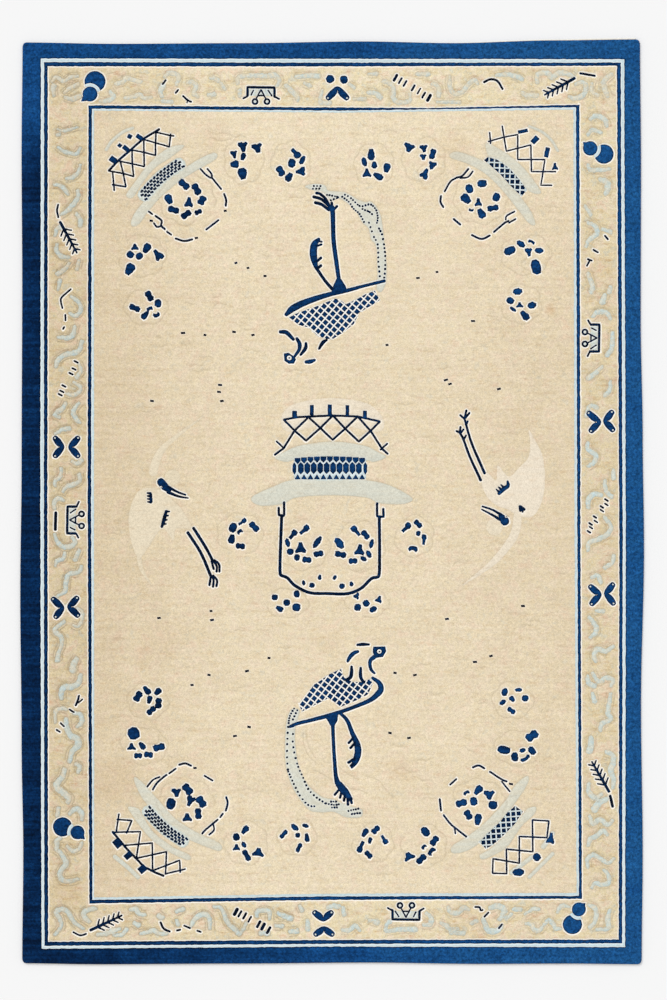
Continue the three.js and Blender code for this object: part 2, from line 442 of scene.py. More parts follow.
    (5, [(82, 341), (80, 349), (75, 353), (66, 354.5), (58, 360), (56, 367)]),
    (4.5, [(58, 337), (68, 338), (73, 334), (75, 326)]),
    (4, [(71, 296), (79, 303), (80.5, 310.6), (75, 316), (69.5, 313)]),
    (4, [(58, 290), (60, 280)]),
    (4, [(69.5, 262.7), (65, 269), (57, 274)]),
    (4, [(79, 260), (77, 269)]),
    (4, [(57, 244), (56.5, 251), (62, 256.5), (69.5, 257.3)]),
    (4, [(55, 236), (56.5, 229), (62, 227)]),
    (4.5, [(76, 213), (80, 219), (80, 226)]),
    (4.5, [(77.5, 190), (78, 197), (73, 204.5), (67, 210.6), (61, 214.5)]),
    (4, [(54, 184.5), (60, 185.5), (65, 190), (68.5, 195)]),
    (4, [(80.5, 164.5), (78.5, 172), (73, 177), (66, 178.5)]),
    (4, [(58, 147), (63, 151), (70, 153), (76, 154), (80.5, 148)]),
    (3, [(57, 129), (63, 131), (71, 129), (78, 127)]),
    (4, [(57, 135), (60, 134)]),
]

# Gourds. Columns: large disc, its radius, small disc, its radius, tip
GOURDS = [
    ((95, 81.5), 10.5, (90, 94), 7.5, (81, 101.5)),
    ((604, 154), 9.7, (590.3, 148.3), 7.3, (583, 142)),
    ((572.5, 924.6), 9.7, (578.9, 909.5), 7, (585.5, 903)),
    ((62.5, 827), 9.6, (77.5, 832.5), 7, (84.9, 839.6)),
]

# Ferns. Columns: foot of the stem, its tip
FERNS = [((60, 222), (77, 253)), ((574.7, 78.2), (544.5, 94.8)), ((609.2, 791.8), (591.8, 761.6)),
         ((90.4, 930.4), (122, 915.5))]

# Butterfly wings, each a bent stroke with round ends
WINGS = [
    [(328, 98), (337.5, 88.5), (347, 98)],
    [(55, 438), (62.1, 447), (55, 456)],
    [(78, 438), (70.4, 447), (78, 456)],
    [(53, 599), (62.1, 608), (55.7, 617)],
    [(77, 598), (69.4, 607), (78, 615.5)],
    [(588.7, 413), (599, 422), (591, 431)],
    [(612, 412), (605.4, 421), (613, 430)],
    [(590.5, 586.6), (599.5, 594.7), (591.7, 604)],
    [(613, 584.5), (606.4, 593.7), (613.6, 603.5)],
    [(314.5, 912.5), (323.3, 919.4), (331.5, 912.5)],
    [(315.5, 934.5), (323.8, 928.6), (332.5, 934.5)],
]
# Columns: across, down
WING_KNOBS = [(330, 79), (344, 79.5)]

# Trays of the border. Columns: middle of its bar, turn in degrees
TRAYS = [((261, 87), 0), ((599.5, 338), 90), ((67, 520), -90), ((406, 920), 180)]
# Columns: width, points from the middle of the bar
TRAY_STROKES = [
    (1.8, [(-13.5, 9), (-13.5, 0), (13.5, 0.5), (13.5, 10)]),
    (1.4, [(-13.5, 9), (-18, 11.5)]),
    (1.4, [(13.5, 9.5), (18.5, 12)]),
    (1.1, [(0, 2.5), (-5, 12)]),
    (1.1, [(0, 2.5), (5, 12)]),
    (1.1, [(-3, 8.5), (3, 8.5)]),
    (1.1, [(-7.5, 3), (-10, 8)]),
    (1.1, [(7, 3), (11, 9)]),
]
TRAY_RINGS = [(-6, 14.5), (6, 14.5)]

# Short marks of the border, in navy. Columns: width, points that the mark runs through
BORDER_MARKS = [
    (1.7, [(162.4, 84.3), (166, 79.8)]),
    (1.8, [(175.5, 93), (178.3, 89.6)]),
    (1.8, [(182.8, 95.7), (187.7, 100.2), (191.4, 101.8)]),
    (1.2, [(187.7, 99), (187, 103)]),
    (2.1, [(483.7, 82.2), (490.7, 79.2), (497.7, 81.2), (502.8, 89.2)]),
    (2.1, [(580, 73.1), (595.2, 75.8)]),
    (1.8, [(58.3, 204.3), (57, 210.4), (58.3, 217.5)]),
    (1.7, [(71, 289), (61.8, 297.2), (60.8, 301), (62.4, 308.4)]),
    (1.7, [(65.3, 314.5), (65.5, 320.6)]),
    (1.7, [(64.4, 326.8), (62.8, 329.2)]),
    (2.8, [(55.7, 512.4), (55.3, 529.8)]),
    (2.0, [(79.1, 695.5), (77.5, 701.2), (75.5, 705.7)]),
    (1.5, [(82.6, 699.2), (78.1, 702.9)]),
    (1.7, [(69.3, 709.4), (74, 712.5)]),
    (1.7, [(60.4, 723), (64.2, 726.7)]),
    (1.7, [(56.3, 729.8), (60.2, 732.2)]),
    (1.8, [(604.8, 235.5), (608.2, 239.5)]),
    (1.8, [(593.2, 249.6), (598.2, 252.5)]),
    (1.7, [(587.5, 259), (592.2, 260.7)]),
    (1.7, [(590, 260), (586.9, 266)]),
    (2.6, [(610.2, 795.8), (612.8, 806.9)]),
    (1.7, [(73, 932.2), (80.2, 935.5), (86.3, 933.9)]),
    (2.1, [(160.4, 922.2), (163.8, 928.8), (170, 931.8)]),
    (1.8, [(176.5, 930.8), (180.6, 929.8)]),
    (1.8, [(183.8, 925.7), (190.4, 928.4)]),
    (1.8, [(196.9, 930.8), (201, 932.2)]),
    (1.9, [(475, 907.1), (479.7, 907.5), (480.7, 910.5), (483, 910)]),
    (1.8, [(488.7, 912.5), (484.3, 917)]),
    (1.8, [(502.2, 924.2), (498.7, 928.6)]),
]

# Rows of slanted ticks. Columns: half a tick across and down, then each tick across, down and width
TICKS = [
    ((1.6, -2.8), [(395.5, 77.7, 2.6), (400.3, 80.6, 1.8), (405, 83.4, 1.8), (413.2, 87.8, 2),
                   (419, 91, 1.6), (423.7, 95, 2), (429, 97.8, 3)]),
    ((1.6, -2.9), [(235.8, 912, 3.2), (239.8, 914, 2.2), (244.7, 916, 2.2), (249.7, 919.4, 1.8),
                   (258.7, 924.4, 2.6), (263, 926.8, 3), (268.6, 930.3, 2.6)]),
    ((1.7, 1.1), [(606.5, 500, 1.9), (606.5, 504.5, 1.6), (602, 507, 1.9), (602, 510.6, 1.6),
                  (595, 517, 1.9),
                  (596, 521.5, 1.6), (590.7, 524, 1.9), (591, 527.6, 1.6), (589, 531.8, 1.8)]),
    ((2, 1), [(76, 361.8, 1.8), (74, 369, 1.8), (71, 373.7, 1.8), (63.8, 386, 1.8), (61.8, 391.4, 1.8),
              (60.2, 394.7, 1.8)]),
]  # fmt: skip

# Petals and small leaves of the sprigs. turn is the way its head points, clockwise from the right.
# Columns: form, across, down, long, wide, turn
PETALS = [
    # the sprigs along the far end
    ("fan", 242.9, 146.8, 9.4, 9.6, -95), ("fan", 257.3, 148.1, 9, 10.5, -103),
    ("fan", 234.1, 154.5, 7.5, 6.8, -100), ("bell", 243.1, 156.6, 7, 5.2, -75),
    ("bell", 234.6, 164.2, 7.8, 7.6, -5), ("bell", 242.5, 173.6, 10.6, 9.2, -100),
    ("key", 295.8, 153.2, 11, 7, 50), ("leaf", 302.2, 160.3, 9, 5, -62),
    ("blob", 291.8, 163, 8.5, 7, -80), ("fan", 300.5, 171.5, 9, 9, -5), ("bow", 280.5, 171, 9.5, 7, 60),
    ("bell", 289, 177, 8.5, 7, 120), ("bell", 371.2, 154.5, 10.5, 7.2, 90),
    ("leaf", 364.4, 161.7, 9, 5, 75), ("bell", 374.3, 164.9, 6.5, 5.5, 90),
    ("bell", 386.9, 167.9, 8.5, 7, -80), ("tri", 366.9, 172.8, 8.5, 8, 0),
    ("bell", 378.2, 176.2, 9.5, 6.5, 30), ("fan", 409.2, 147.7, 8, 11, -70),
    ("fan", 423.9, 148.5, 7, 8, -95), ("bow", 432.6, 154, 9.5, 6, 105), ("fan", 423.3, 157, 5.5, 7, -90),
    ("fan", 433, 164.7, 7.5, 8.5, 170), ("fan", 425, 173.6, 10, 8.5, 120),
    # the left side, far half
    ("tri", 134.8, 246.9, 7.5, 6, 0), ("bell", 146.7, 248.2, 9.5, 7.5, -60),
    ("blob", 130.3, 254.6, 6.8, 6.6, 30), ("blob", 139.4, 255.9, 6.8, 6.4, -45),
    ("fan", 157.7, 254.7, 11, 9, 55), ("bell", 129.7, 269.2, 11, 9, -60),
    ("bow", 149.3, 296.1, 10, 6.5, 60), ("blob", 157.9, 303.3, 7.5, 6.5, 90),
    ("bow", 134.8, 308, 10.5, 6, 25), ("bean", 149.7, 309, 6, 4.5, -20),
    ("bell", 145, 315.2, 8.5, 6, 130), ("bean", 156.5, 314.8, 6.5, 5, 160),
    # the right side, far half
    ("leaf", 520.7, 243.7, 9, 5.5, 35), ("bean", 531.6, 242, 7, 3.5, 25),
    ("blob", 510, 250.6, 11, 7.5, -25), ("fan", 528.9, 252.2, 8, 7, -95),
    ("leaf", 538.9, 250.5, 8.5, 5.5, 5), ("blob", 536.1, 267, 14, 9, 75),
    ("leaf", 517.6, 291.5, 9, 6.5, -10), ("blob", 510.4, 300.6, 7, 6.5, 30),
    ("tri", 519.7, 304.8, 7, 5, 0), ("leaf", 531.9, 305.3, 8.5, 6.5, -10),
    ("leaf", 512.9, 309.1, 7, 3.5, 35), ("bell", 524.8, 315.5, 10, 7, 50),
    # the left side, near half
    ("bell", 146.8, 690.5, 9, 6, 50), ("bell", 157.7, 691.8, 7.5, 6, -45),
    ("bow", 137.9, 696.5, 10, 7, -60), ("bell", 149.4, 699.7, 7.5, 5.5, -75),
    ("bow", 158.4, 703.2, 9.5, 7, -85), ("bow", 151.2, 710.7, 9.5, 6, -45),
    ("blob", 133.6, 733.6, 11.5, 11, 60), ("tri", 131.4, 746.7, 8.5, 6.5, 0),
    ("bell", 142.1, 745.9, 8, 5.5, 50), ("bow", 159, 747.4, 11, 7, -15), ("bow", 138, 755.8, 7.5, 5.5, 0),
    ("bow", 148.5, 754.8, 8, 6, 5),
    # the right side, near half
    ("leaf", 504.7, 692.3, 8, 6, -70), ("leaf", 518.5, 689.9, 7, 4, 0), ("blob", 525.3, 698.3, 6.4, 6, 0),
    ("bell", 512.2, 699, 6, 5, -130), ("leaf", 502.7, 702.5, 7, 4.5, -35),
    ("bow", 511.4, 710.7, 8, 5, 35), ("bow", 532, 736, 12, 8.5, -35), ("blob", 503.9, 750, 12, 7.5, 12),
    ("leaf", 522.4, 750.5, 6, 4.5, -20), ("blob", 532, 750.8, 8.5, 6, 50),
    ("blob", 514.8, 757, 8.5, 6.5, 85), ("bean", 525.3, 758.3, 10, 4.5, 145),
    # the sprigs along the near end
    ("bell", 245.1, 830, 8.5, 6, -50), ("blob", 236.3, 837.2, 7, 6.5, 80),
    ("leaf", 243.9, 844.7, 6.5, 4.5, 60), ("tri", 236.5, 847.4, 7, 6, 0),
    ("bow", 246.6, 855.5, 11, 5.5, 60), ("tri", 258.3, 852.3, 11.5, 8, 10),
    ("leaf", 294.6, 827.3, 8.5, 5, 40), ("leaf", 305.4, 825.8, 6.5, 4, 15),
    ("bow", 283.7, 834.3, 9, 4.5, -50), ("blob", 297.9, 835.3, 4.6, 4.4, 0),
    ("bell", 306.9, 837.7, 8, 4.8, 80), ("bow", 299, 847.8, 9, 4.5, -65),
    ("bow", 375.7, 830, 8.5, 6, -45), ("bell", 365, 832.9, 8.5, 5.5, -60),
    ("key", 384.3, 839.8, 9.5, 5.5, 60), ("bell", 370, 840.6, 6, 4.2, -80),
    ("key", 360.9, 847, 11.5, 6, 115), ("bow", 368.5, 854.8, 8, 5.5, 45),
    ("blob", 425.5, 831.9, 9.5, 7, 50), ("bow", 434.4, 841, 9.5, 6.5, -55),
    ("bean", 423.9, 847.2, 5.5, 4, -50), ("bean", 431.7, 851.7, 9, 5.5, -50),
    ("tri", 409, 856.3, 11, 7.5, -25), ("bow", 421.4, 859.2, 10.5, 6.5, -45),
    # beside, in and below the middle basket
    ("bow", 254.2, 526.7, 10.5, 6.5, 45), ("key", 242.4, 521.9, 9, 4.5, -35),
    ("blob", 233, 527.7, 9, 7, -70), ("bean", 239.7, 532, 6, 4.5, -40),
    ("bell", 231.7, 538.9, 8.5, 7, 100), ("bow", 240.4, 546.2, 8.5, 6, 5),
    ("key", 406.4, 527.5, 11, 6, -45), ("bow", 418.1, 524, 8.5, 5.5, 45),
    ("blob", 418.4, 533.4, 5, 4.2, 100), ("key", 423.9, 539.4, 9.8, 5, -85),
    ("bean", 413.1, 548.9, 9, 6, 10), ("key", 304.5, 529.8, 11, 6, -40), ("key", 293, 534.5, 10, 6, -50),
    ("leaf", 287.5, 542.5, 8.5, 4.5, 75), ("tri", 300.5, 547.8, 10.5, 10, 0),
    ("blob", 290.3, 551.8, 6.5, 6, 0), ("blob", 297, 557.5, 6, 5.5, 90), ("bow", 306.8, 559.8, 8.5, 6, 5),
    ("bow", 318.5, 553.8, 9, 6, -10), ("leaf", 317, 542.5, 13, 5.5, -55),
    ("key", 355.7, 530.8, 11, 6, -130), ("bow", 365.4, 534.8, 9, 6, 50),
    ("leaf", 371.4, 544, 9, 4.2, -75), ("tri", 359.7, 549.8, 9.5, 10, 8),
    ("leaf", 368.7, 554, 7.5, 5, 60), ("leaf", 363.4, 558.7, 6.5, 4.5, 35), ("bow", 353, 561, 8, 5.5, -5),
    ("bow", 340.7, 554.5, 10.5, 6, 12), ("leaf", 339.2, 543, 12, 7, 55),
    ("blob", 274.8, 597.4, 6, 5.5, 0), ("blob", 286.7, 602.7, 6.2, 6, 0),
    ("bell", 279.5, 608.7, 7, 5.5, 30), ("blob", 296.7, 594, 7, 5.5, 90),
    ("blob", 296.5, 607.4, 7.5, 7.5, 0), ("fan", 356.2, 596.2, 5.5, 7, 0),
    ("blob", 366.2, 603.5, 6.4, 6, 40), ("tri", 379, 599.2, 6.5, 6.5, 20),
    ("blob", 357.7, 607.4, 6.5, 6.5, 0), ("leaf", 373, 609.4, 7.5, 5.5, -25),
    ("leaf", 303.7, 582.9, 5, 3.6, 80), ("blob", 312, 585.4, 5.2, 4.8, 0),
    ("bell", 319.7, 577.2, 5, 3.8, 100), ("leaf", 334.7, 577.7, 5, 3.4, -60),
    ("blob", 342, 586.2, 5.2, 5, 0), ("leaf", 351.5, 584, 5, 3.8, 80),
    # the four corner baskets
    ("bow", 184, 184.5, 11, 7, 42), ("bow", 196.5, 189.2, 11, 7, 60),
    ("bell", 168.8, 199.2, 9.5, 7.5, -115), ("bow", 202, 200.3, 8.5, 7.5, -60),
    ("tri", 188.8, 202, 8.5, 9.5, 5), ("bow", 173.5, 209.8, 10.5, 6.5, 15),
    ("bow", 186, 214.5, 10, 6.5, -35), ("bow", 198.2, 212, 7, 5, -25), ("blob", 482.2, 183.5, 9, 7, -5),
    ("blob", 469.4, 188.8, 8.5, 6.8, 70), ("bell", 466, 198.8, 10, 8.5, -135),
    ("tri", 478.4, 202.2, 7, 7.5, 0), ("blob", 496.4, 197.2, 8, 7, -70),
    ("bean", 471.2, 209.8, 5, 3.2, 190), ("bow", 493, 208, 10.5, 6, -10),
    ("bell", 481.5, 213.3, 9.5, 7.5, 60), ("bow", 187.6, 789.5, 11, 8, 50),
    ("fan", 176.4, 792.8, 8, 9.5, -90), ("blob", 170.9, 803.8, 10.5, 8.5, -80),
    ("fan", 190.2, 801.2, 10, 8.5, -65), ("bow", 201.2, 802, 11, 8, 55),
    ("bow", 198.2, 813.8, 10, 6.5, 85), ("tri", 187.2, 817.5, 9.5, 7.5, 0),
    ("bean", 466.5, 793, 6.5, 4, -30), ("bell", 478.3, 790.2, 9.5, 7, -50),
    ("fan", 489.3, 795.2, 8.5, 11, -90), ("bow", 461.5, 803.2, 10.5, 7, -15),
    ("blob", 473.8, 801.5, 8, 7, 70), ("blob", 493, 805.2, 8.5, 8, 0), ("bow", 468.2, 815, 9, 7, 60),
    ("bell", 478, 819.7, 10.5, 7, -80),
    # lozenges beside the two right-hand lattices
    ("tri", 555, 166.4, 6, 6.5, 0), ("tri", 550.8, 838.4, 8, 10, 10), ("blob", 536.9, 857.3, 7.4, 7, 45),
    ("leaf", 518.2, 872.4, 11, 7.2, 0),
]  # fmt: skip
# Outlines of the petal forms, head to the right, as shares of their length and width
PETAL_FORMS = {
    "bow": [(-0.5, -0.32), (-0.28, -0.5), (0, -0.37), (0.25, -0.5), (0.5, -0.28), (0.5, 0.3), (0.28, 0.5),
            (0, 0.36), (-0.28, 0.5), (-0.5, 0.3)],
    "fan": [(-0.5, -0.14), (-0.1, -0.26), (0.16, -0.5), (0.46, -0.46), (0.5, -0.1), (0.38, 0.04),
            (0.5, 0.3), (0.3, 0.5), (0, 0.3), (-0.5, 0.16)],
    "bell": [(-0.5, -0.24), (-0.2, -0.38), (0.2, -0.5), (0.5, -0.3), (0.5, 0.25), (0.25, 0.5),
             (-0.1, 0.42), (-0.5, 0.24)],
    "bean": [(-0.5, 0.1), (-0.4, -0.36), (0, -0.5), (0.4, -0.4), (0.5, 0.15), (0.36, 0.48), (0.1, 0.22),
             (-0.12, 0.2), (-0.32, 0.5)],
    "leaf": [(-0.5, 0), (-0.3, -0.4), (0.15, -0.5), (0.5, -0.2), (0.5, 0.2), (0.15, 0.5), (-0.3, 0.42)],
    "blob": [(-0.5, -0.2), (-0.3, -0.48), (0.12, -0.5), (0.46, -0.34), (0.5, 0.14), (0.28, 0.48),
             (-0.2, 0.5), (-0.5, 0.24)],
    "key": [(-0.5, -0.24), (-0.05, -0.26), (0.12, -0.48), (0.42, -0.46), (0.5, 0), (0.4, 0.42),
            (0.12, 0.5), (-0.06, 0.3), (-0.5, 0.26)],
    "tri": [(-0.5, 0.3), (-0.26, -0.06), (-0.16, -0.5), (0.14, -0.5), (0.26, -0.08), (0.5, 0.26),
            (0.44, 0.5), (0.08, 0.42), (-0.14, 0.44), (-0.44, 0.5)],
}  # fmt: skip

# Flower basket in the middle. Columns: width, points that the line runs through
BASKET_LINES = [
    (1.8, [(283.8, 419.7), (296.7, 417.2), (331.9, 415.5), (357.7, 416.5), (380, 421.5)]),
    (1.8, [(283.8, 419.7), (294.6, 430.6), (306.1, 440.6), (320.4, 428), (332.9, 415.5), (345.2, 428.7),
           (358.9, 441.6), (370.6, 430.9), (380, 421.5)]),
    (1.8, [(274.5, 455), (283.8, 448.1), (294.6, 430.6), (308.5, 417.2), (320.4, 428), (332.6, 439.8),
           (345.2, 428.7), (357.7, 416.5), (370.6, 430.9), (382.1, 448.8), (387.9, 454.1)]),
    (1.5, [(276.4, 441.2), (283.8, 448.1)]),
    (1.5, [(380.3, 449.8), (387.6, 443.5)]),
]
# Columns: across, down, wide, high, turn in degrees
BASKET_BLOCKS = [(294.6, 414.4, 4.9, 7.2, 0), (311.8, 410.1, 4, 10.3, 0), (329.8, 409.8, 4.3, 10.6, 0),
                 (347.4, 410.4, 3.6, 10.6, 0), (364.9, 414.4, 4, 7.5, 0)]
# Outlines of the light wool behind the blocks, the basket's brim and its hull
BASKET_HAZE = [(281, 420), (292, 405), (331, 398), (368, 404), (384, 421), (376, 432), (332, 424),
               (290, 432)]
BASKET_BRIM = [(275, 458), (284, 452), (300, 445.5), (332, 441.5), (364, 445.5), (378, 452), (386, 457),
               (374, 462), (365, 460), (332, 457.5), (296, 460), (286, 462)]
BASKET_BOAT = [(251.5, 497.6), (272.4, 486.8), (293.9, 479.7), (332, 477.5), (364.2, 479.7), (390, 485.4),
               (412.3, 498.3), (403, 504), (380, 503.3), (365.6, 497.6), (332.6, 495.4), (296.7, 497.6),
               (282.4, 504), (259.4, 505.5)]
# Lines of the vase under the hull
VASE = [(281.7, 515.2), (280.6, 545), (280, 571.5), (281.7, 575.5), (287.4, 578), (295.3, 585.8),
        (309.7, 592.7), (328, 593.6), (347, 593.7), (360.6, 588.7), (371.4, 578.7), (377.1, 577.2),
        (379.3, 572.9), (379.6, 545), (379.3, 517)]
VASE_FORKS = [[(278.8, 507.5), (278.8, 515.2), (284.1, 515.8)], [(284.1, 502), (284.1, 515.2)],
              [(377.1, 503), (377.1, 516.3), (383.6, 516.8), (383.3, 508.5)]]
NET_PITCH = 6.45

# Corner baskets: lattice lines, blocks, pale shapes, a net and the dashes of a handle.
# Columns: width, points that the line runs through
CORNER_LINES = [
    (1.9, [(108.6, 170.8), (118.1, 160.5), (129.7, 150.6), (143, 138.9), (156, 131.2), (159.4, 129)]),
    (1.4, [(108.6, 170.8), (123.2, 173.4), (133.6, 176.4)]),
    (1.4, [(118.5, 160.9), (133.1, 163.9), (144.3, 166.5)]),
    (1.4, [(131, 149.7), (143.9, 152.3), (155.5, 155.3)]),
    (1.4, [(143.9, 139.4), (155.5, 142.8), (169.3, 146.7)]),
    (1.4, [(156, 132.1), (170.2, 135.5), (174, 135.9)]),
    (1.4, [(112.5, 171.7), (113.8, 185.4), (114.2, 190.6)]),
    (1.4, [(120.2, 160.9), (123.2, 173.4), (125.8, 186.3)]),
    (1.4, [(112.1, 184.6), (125.8, 186.7)]),
    (1.4, [(131.9, 149.7), (132.3, 163.9), (133.6, 176.4)]),
    (1.4, [(143.7, 139.4), (143.9, 152.3), (144.3, 166.5)]),
    (1.4, [(156, 132.1), (155.5, 142.8), (155.5, 155.3)]),
    (1.4, [(170.6, 133.8), (169.3, 146.7)]),
    (1.3, [(489.7, 132.4), (490.7, 143.5)]),
    (1.3, [(488.3, 141.5), (502.8, 137.4), (517.8, 134.4), (517.8, 159.5), (545, 159.5), (541, 185.2),
           (552, 185.2)]),
    (1.3, [(502.2, 125.8), (506.4, 151.1), (530.9, 144.9), (531.5, 171.6), (556, 171.6)]),
    (1.9, [(112.4, 831.8), (118, 838.5), (127, 849.2), (136.5, 859), (144, 867), (154.6, 872.3),
           (163.8, 876.1)]),
    (1.4, [(118.9, 814), (116.3, 831.8)]),
    (1.4, [(116.9, 819.6), (131.8, 820.6), (126.5, 833.3)]),
    (1.4, [(112.4, 832.4), (140.4, 831.8), (136.3, 858.8)]),
    (1.4, [(124, 845.6), (152.2, 843.1), (152.6, 871.2)]),
    (1.4, [(136.6, 858.4), (166.5, 851.8), (165.5, 874.1)]),
    (1.4, [(152.6, 870.8), (179.6, 860.4), (180.2, 872.7)]),
    (1.4, [(164.9, 874.1), (185.3, 869.2)]),
    (1.4, [(532.5, 820.1), (549, 821.1), (547, 837.8), (519.4, 836.6), (519.4, 863.3), (493.1, 858.9),
           (492.7, 873.4)]),
    (1.4, [(492.7, 873.4), (506.8, 873.8), (506.4, 849.3), (532.9, 851.9), (532.5, 820.1)]),
]
# Columns: across, down, wide, high, turn in degrees
CORNER_BLOCKS = [
    (139.2, 137, 6.5, 4.6, 33),
    (129.7, 136.4, 4.5, 4.5, 30),
    (119.8, 145.4, 4, 4, 40),
    (125.8, 148.4, 7, 4.6, 40),
    (112.9, 159.6, 7, 6, 35),
    (523, 131.2, 10, 3.6, -12),
    (535, 139.9, 8, 5.4, -45),
    (547, 152.3, 4.6, 10, 12),
    (117.3, 843.5, 7, 9, -40),
    (128.1, 855.7, 8, 6, -40),
    (142.4, 869.2, 8, 7, -40),
]
# Brims and hulls of the corner baskets, as outlines
CORNER_PALE = [
    [(126, 195), (134, 183), (149, 163.5), (167, 148.5), (182, 144.7), (183.3, 147.7), (170, 158),
     (155, 168), (141.5, 184.5), (132.5, 197.8)],
    [(131, 225), (134, 214), (147, 198), (165, 182), (182, 170), (197, 160), (214, 152.5), (217, 158),
     (203, 167), (190, 174.5), (176, 184), (160, 198), (148, 212), (138, 225)],
    [(450.5, 153.5), (460, 152), (484, 161.5), (501, 176.5), (516, 191.5), (530, 209.5), (535.5, 224),
     (529, 223.5), (517, 208.5), (502, 190), (485.5, 174), (468, 164), (451, 158)],
    [(486, 143), (502.8, 151), (518.8, 163), (532.9, 179), (541, 193), (528.9, 191), (510.8, 173),
     (490.7, 160)],
    [(134.5, 777), (143, 783), (158, 799.5), (176, 819), (197, 832.5), (220, 843.5), (219.5, 851),
     (201, 845), (179, 834.5), (161, 819.5), (144.5, 801.5), (135.5, 785)],
    [(128, 807), (138.4, 808.6), (143, 816), (153.5, 832), (173, 847), (189.5, 855), (188, 860.3),
     (171.5, 853.5), (153.5, 841.5), (140, 826.6), (132, 815)],
    [(527, 776), (515.6, 784.7), (505, 801), (487, 820.6), (470.7, 834), (452.5, 846), (453, 853.5),
     (468, 850.5), (483, 840), (502, 819), (515.6, 802.6), (528, 783)],
    [(536, 807), (527.6, 808.6), (521.6, 816), (505, 835.6), (490, 849), (479.7, 855), (482.7, 859.5),
     (494.7, 855), (508, 846), (521.6, 826.6), (534, 814.6)],
]
# Faint pale strips behind the corner blocks. Columns: width, points that the strip runs through
CORNER_STRIPS = [
    (3, [(106, 150), (112, 141), (123, 132), (133, 128)]),
    (2.6, [(529, 126), (543, 132.5), (552, 141), (558, 151)]),
    (4, [(114.5, 856.5), (126, 866), (138.4, 877.5)]),
    (3.4, [(553, 853.5), (542.6, 864), (529, 877.5)]),
    (4.5, [(553, 833), (543, 847.5)]),
    (4, [(532, 857), (521, 865.5), (511, 873)]),
]
# Columns: middle of one end, middle of the other end, half the height, rows
CORNER_NETS = [
    ((143.2, 196), (180.4, 163.4), 5.5, 4),
    ((184, 842), (147.2, 810.5), 5.3, 4),
]
# The other two nets are plaited: pale lines across a dark band. Columns: outline, turn of the lines
PLAITED_NETS = [
    ([(484, 160), (488, 157), (498, 160), (509, 168), (518, 178), (527, 190), (521.5, 196.5), (511, 186),
      (500, 174), (490, 165)], 2),
    ([(479.5, 842), (488, 833.5), (499, 823), (508, 812), (515, 806), (523, 811.5), (515, 824),
      (504, 835), (493, 845), (486, 849)], -4),
]
PLAIT_PITCH = 5.3
# Columns: width, points that the dash runs through
HANDLES = [
    (1.6, [(200.3, 168.6), (204.6, 173.4), (210.2, 177.7), (211.9, 176.4), (211.1, 173.4),
           (207.2, 168.6)]),
    (1.6, [(211.9, 177.7), (221.4, 189.3)]),
    (1.8, [(224, 193.6), (226.1, 200.1), (225.7, 206.1)]),
    (1.6, [(218.8, 219.9), (205.9, 229.8)]),
    (1.8, [(192.6, 239.2), (184.4, 241), (175.3, 238.4)]),
    (1.6, [(171.5, 234.9), (166.7, 231.5)]),
    (1.8, [(165, 229.3), (161.1, 225.5), (161.6, 220.7), (155.1, 215.6)]),
    (1.6, [(152.5, 214.3), (148.6, 211.3)]),
    (1.6, [(161.1, 225.9), (156.8, 226.8), (153.8, 222.9)]),
    (1.7, [(468.6, 168.6), (462.6, 175.6), (456.6, 177.6)]),
    (1.5, [(473, 171), (468, 177), (460, 178)]),
    (1.6, [(456.6, 177.6), (450.5, 181.6), (444.5, 191.7)]),
    (1.8, [(441.1, 195.7), (440.5, 201.7), (443.5, 207.3)]),
    (1.8, [(453.5, 218.8), (460.6, 224.8)]),
    (1.8, [(471.6, 234.9), (481.7, 238.9), (490.1, 235.3)]),
    (1.7, [(493.7, 232.2), (504.8, 222.8), (508.8, 220.8)]),
    (1.5, [(505.8, 219.8), (506.8, 215.8), (514.8, 211.3)]),
    (1.5, [(508.8, 222.8), (515.8, 218.8)]),
    (1.7, [(152.6, 790), (157, 783), (162.8, 777.8), (166.9, 774.7)]),
    (1.5, [(147, 787), (153, 780), (160, 777)]),
    (1.6, [(168.9, 773.7), (176, 768.6)]),
    (1.8, [(178.7, 765), (185.3, 763.5), (191.4, 766)]),
    (1.6, [(204.2, 775.7), (212.8, 780.8)]),
    (1.8, [(226, 797), (227.7, 803), (225.7, 811)]),
    (1.6, [(223, 813.5), (220, 817.6)]),
    (1.7, [(217.9, 819.6), (205.7, 829.8), (202, 834)]),
    (1.5, [(213, 824), (214, 830), (209, 835)]),
    (1.8, [(472.6, 767.6), (478.7, 765.6), (484.7, 768.6)]),
    (1.7, [(489.7, 771.6), (501.8, 779.6), (507, 781.6)]),
    (1.5, [(501.8, 781.6), (510, 791.7)]),
    (1.6, [(450, 785), (456.6, 779)]),
    (1.8, [(439.8, 799), (441.1, 811)]),
    (1.7, [(443.5, 815), (450.5, 824), (457.5, 829.8), (466.6, 837)]),
    (1.4, [(454.5, 827), (455.5, 834)]),
]

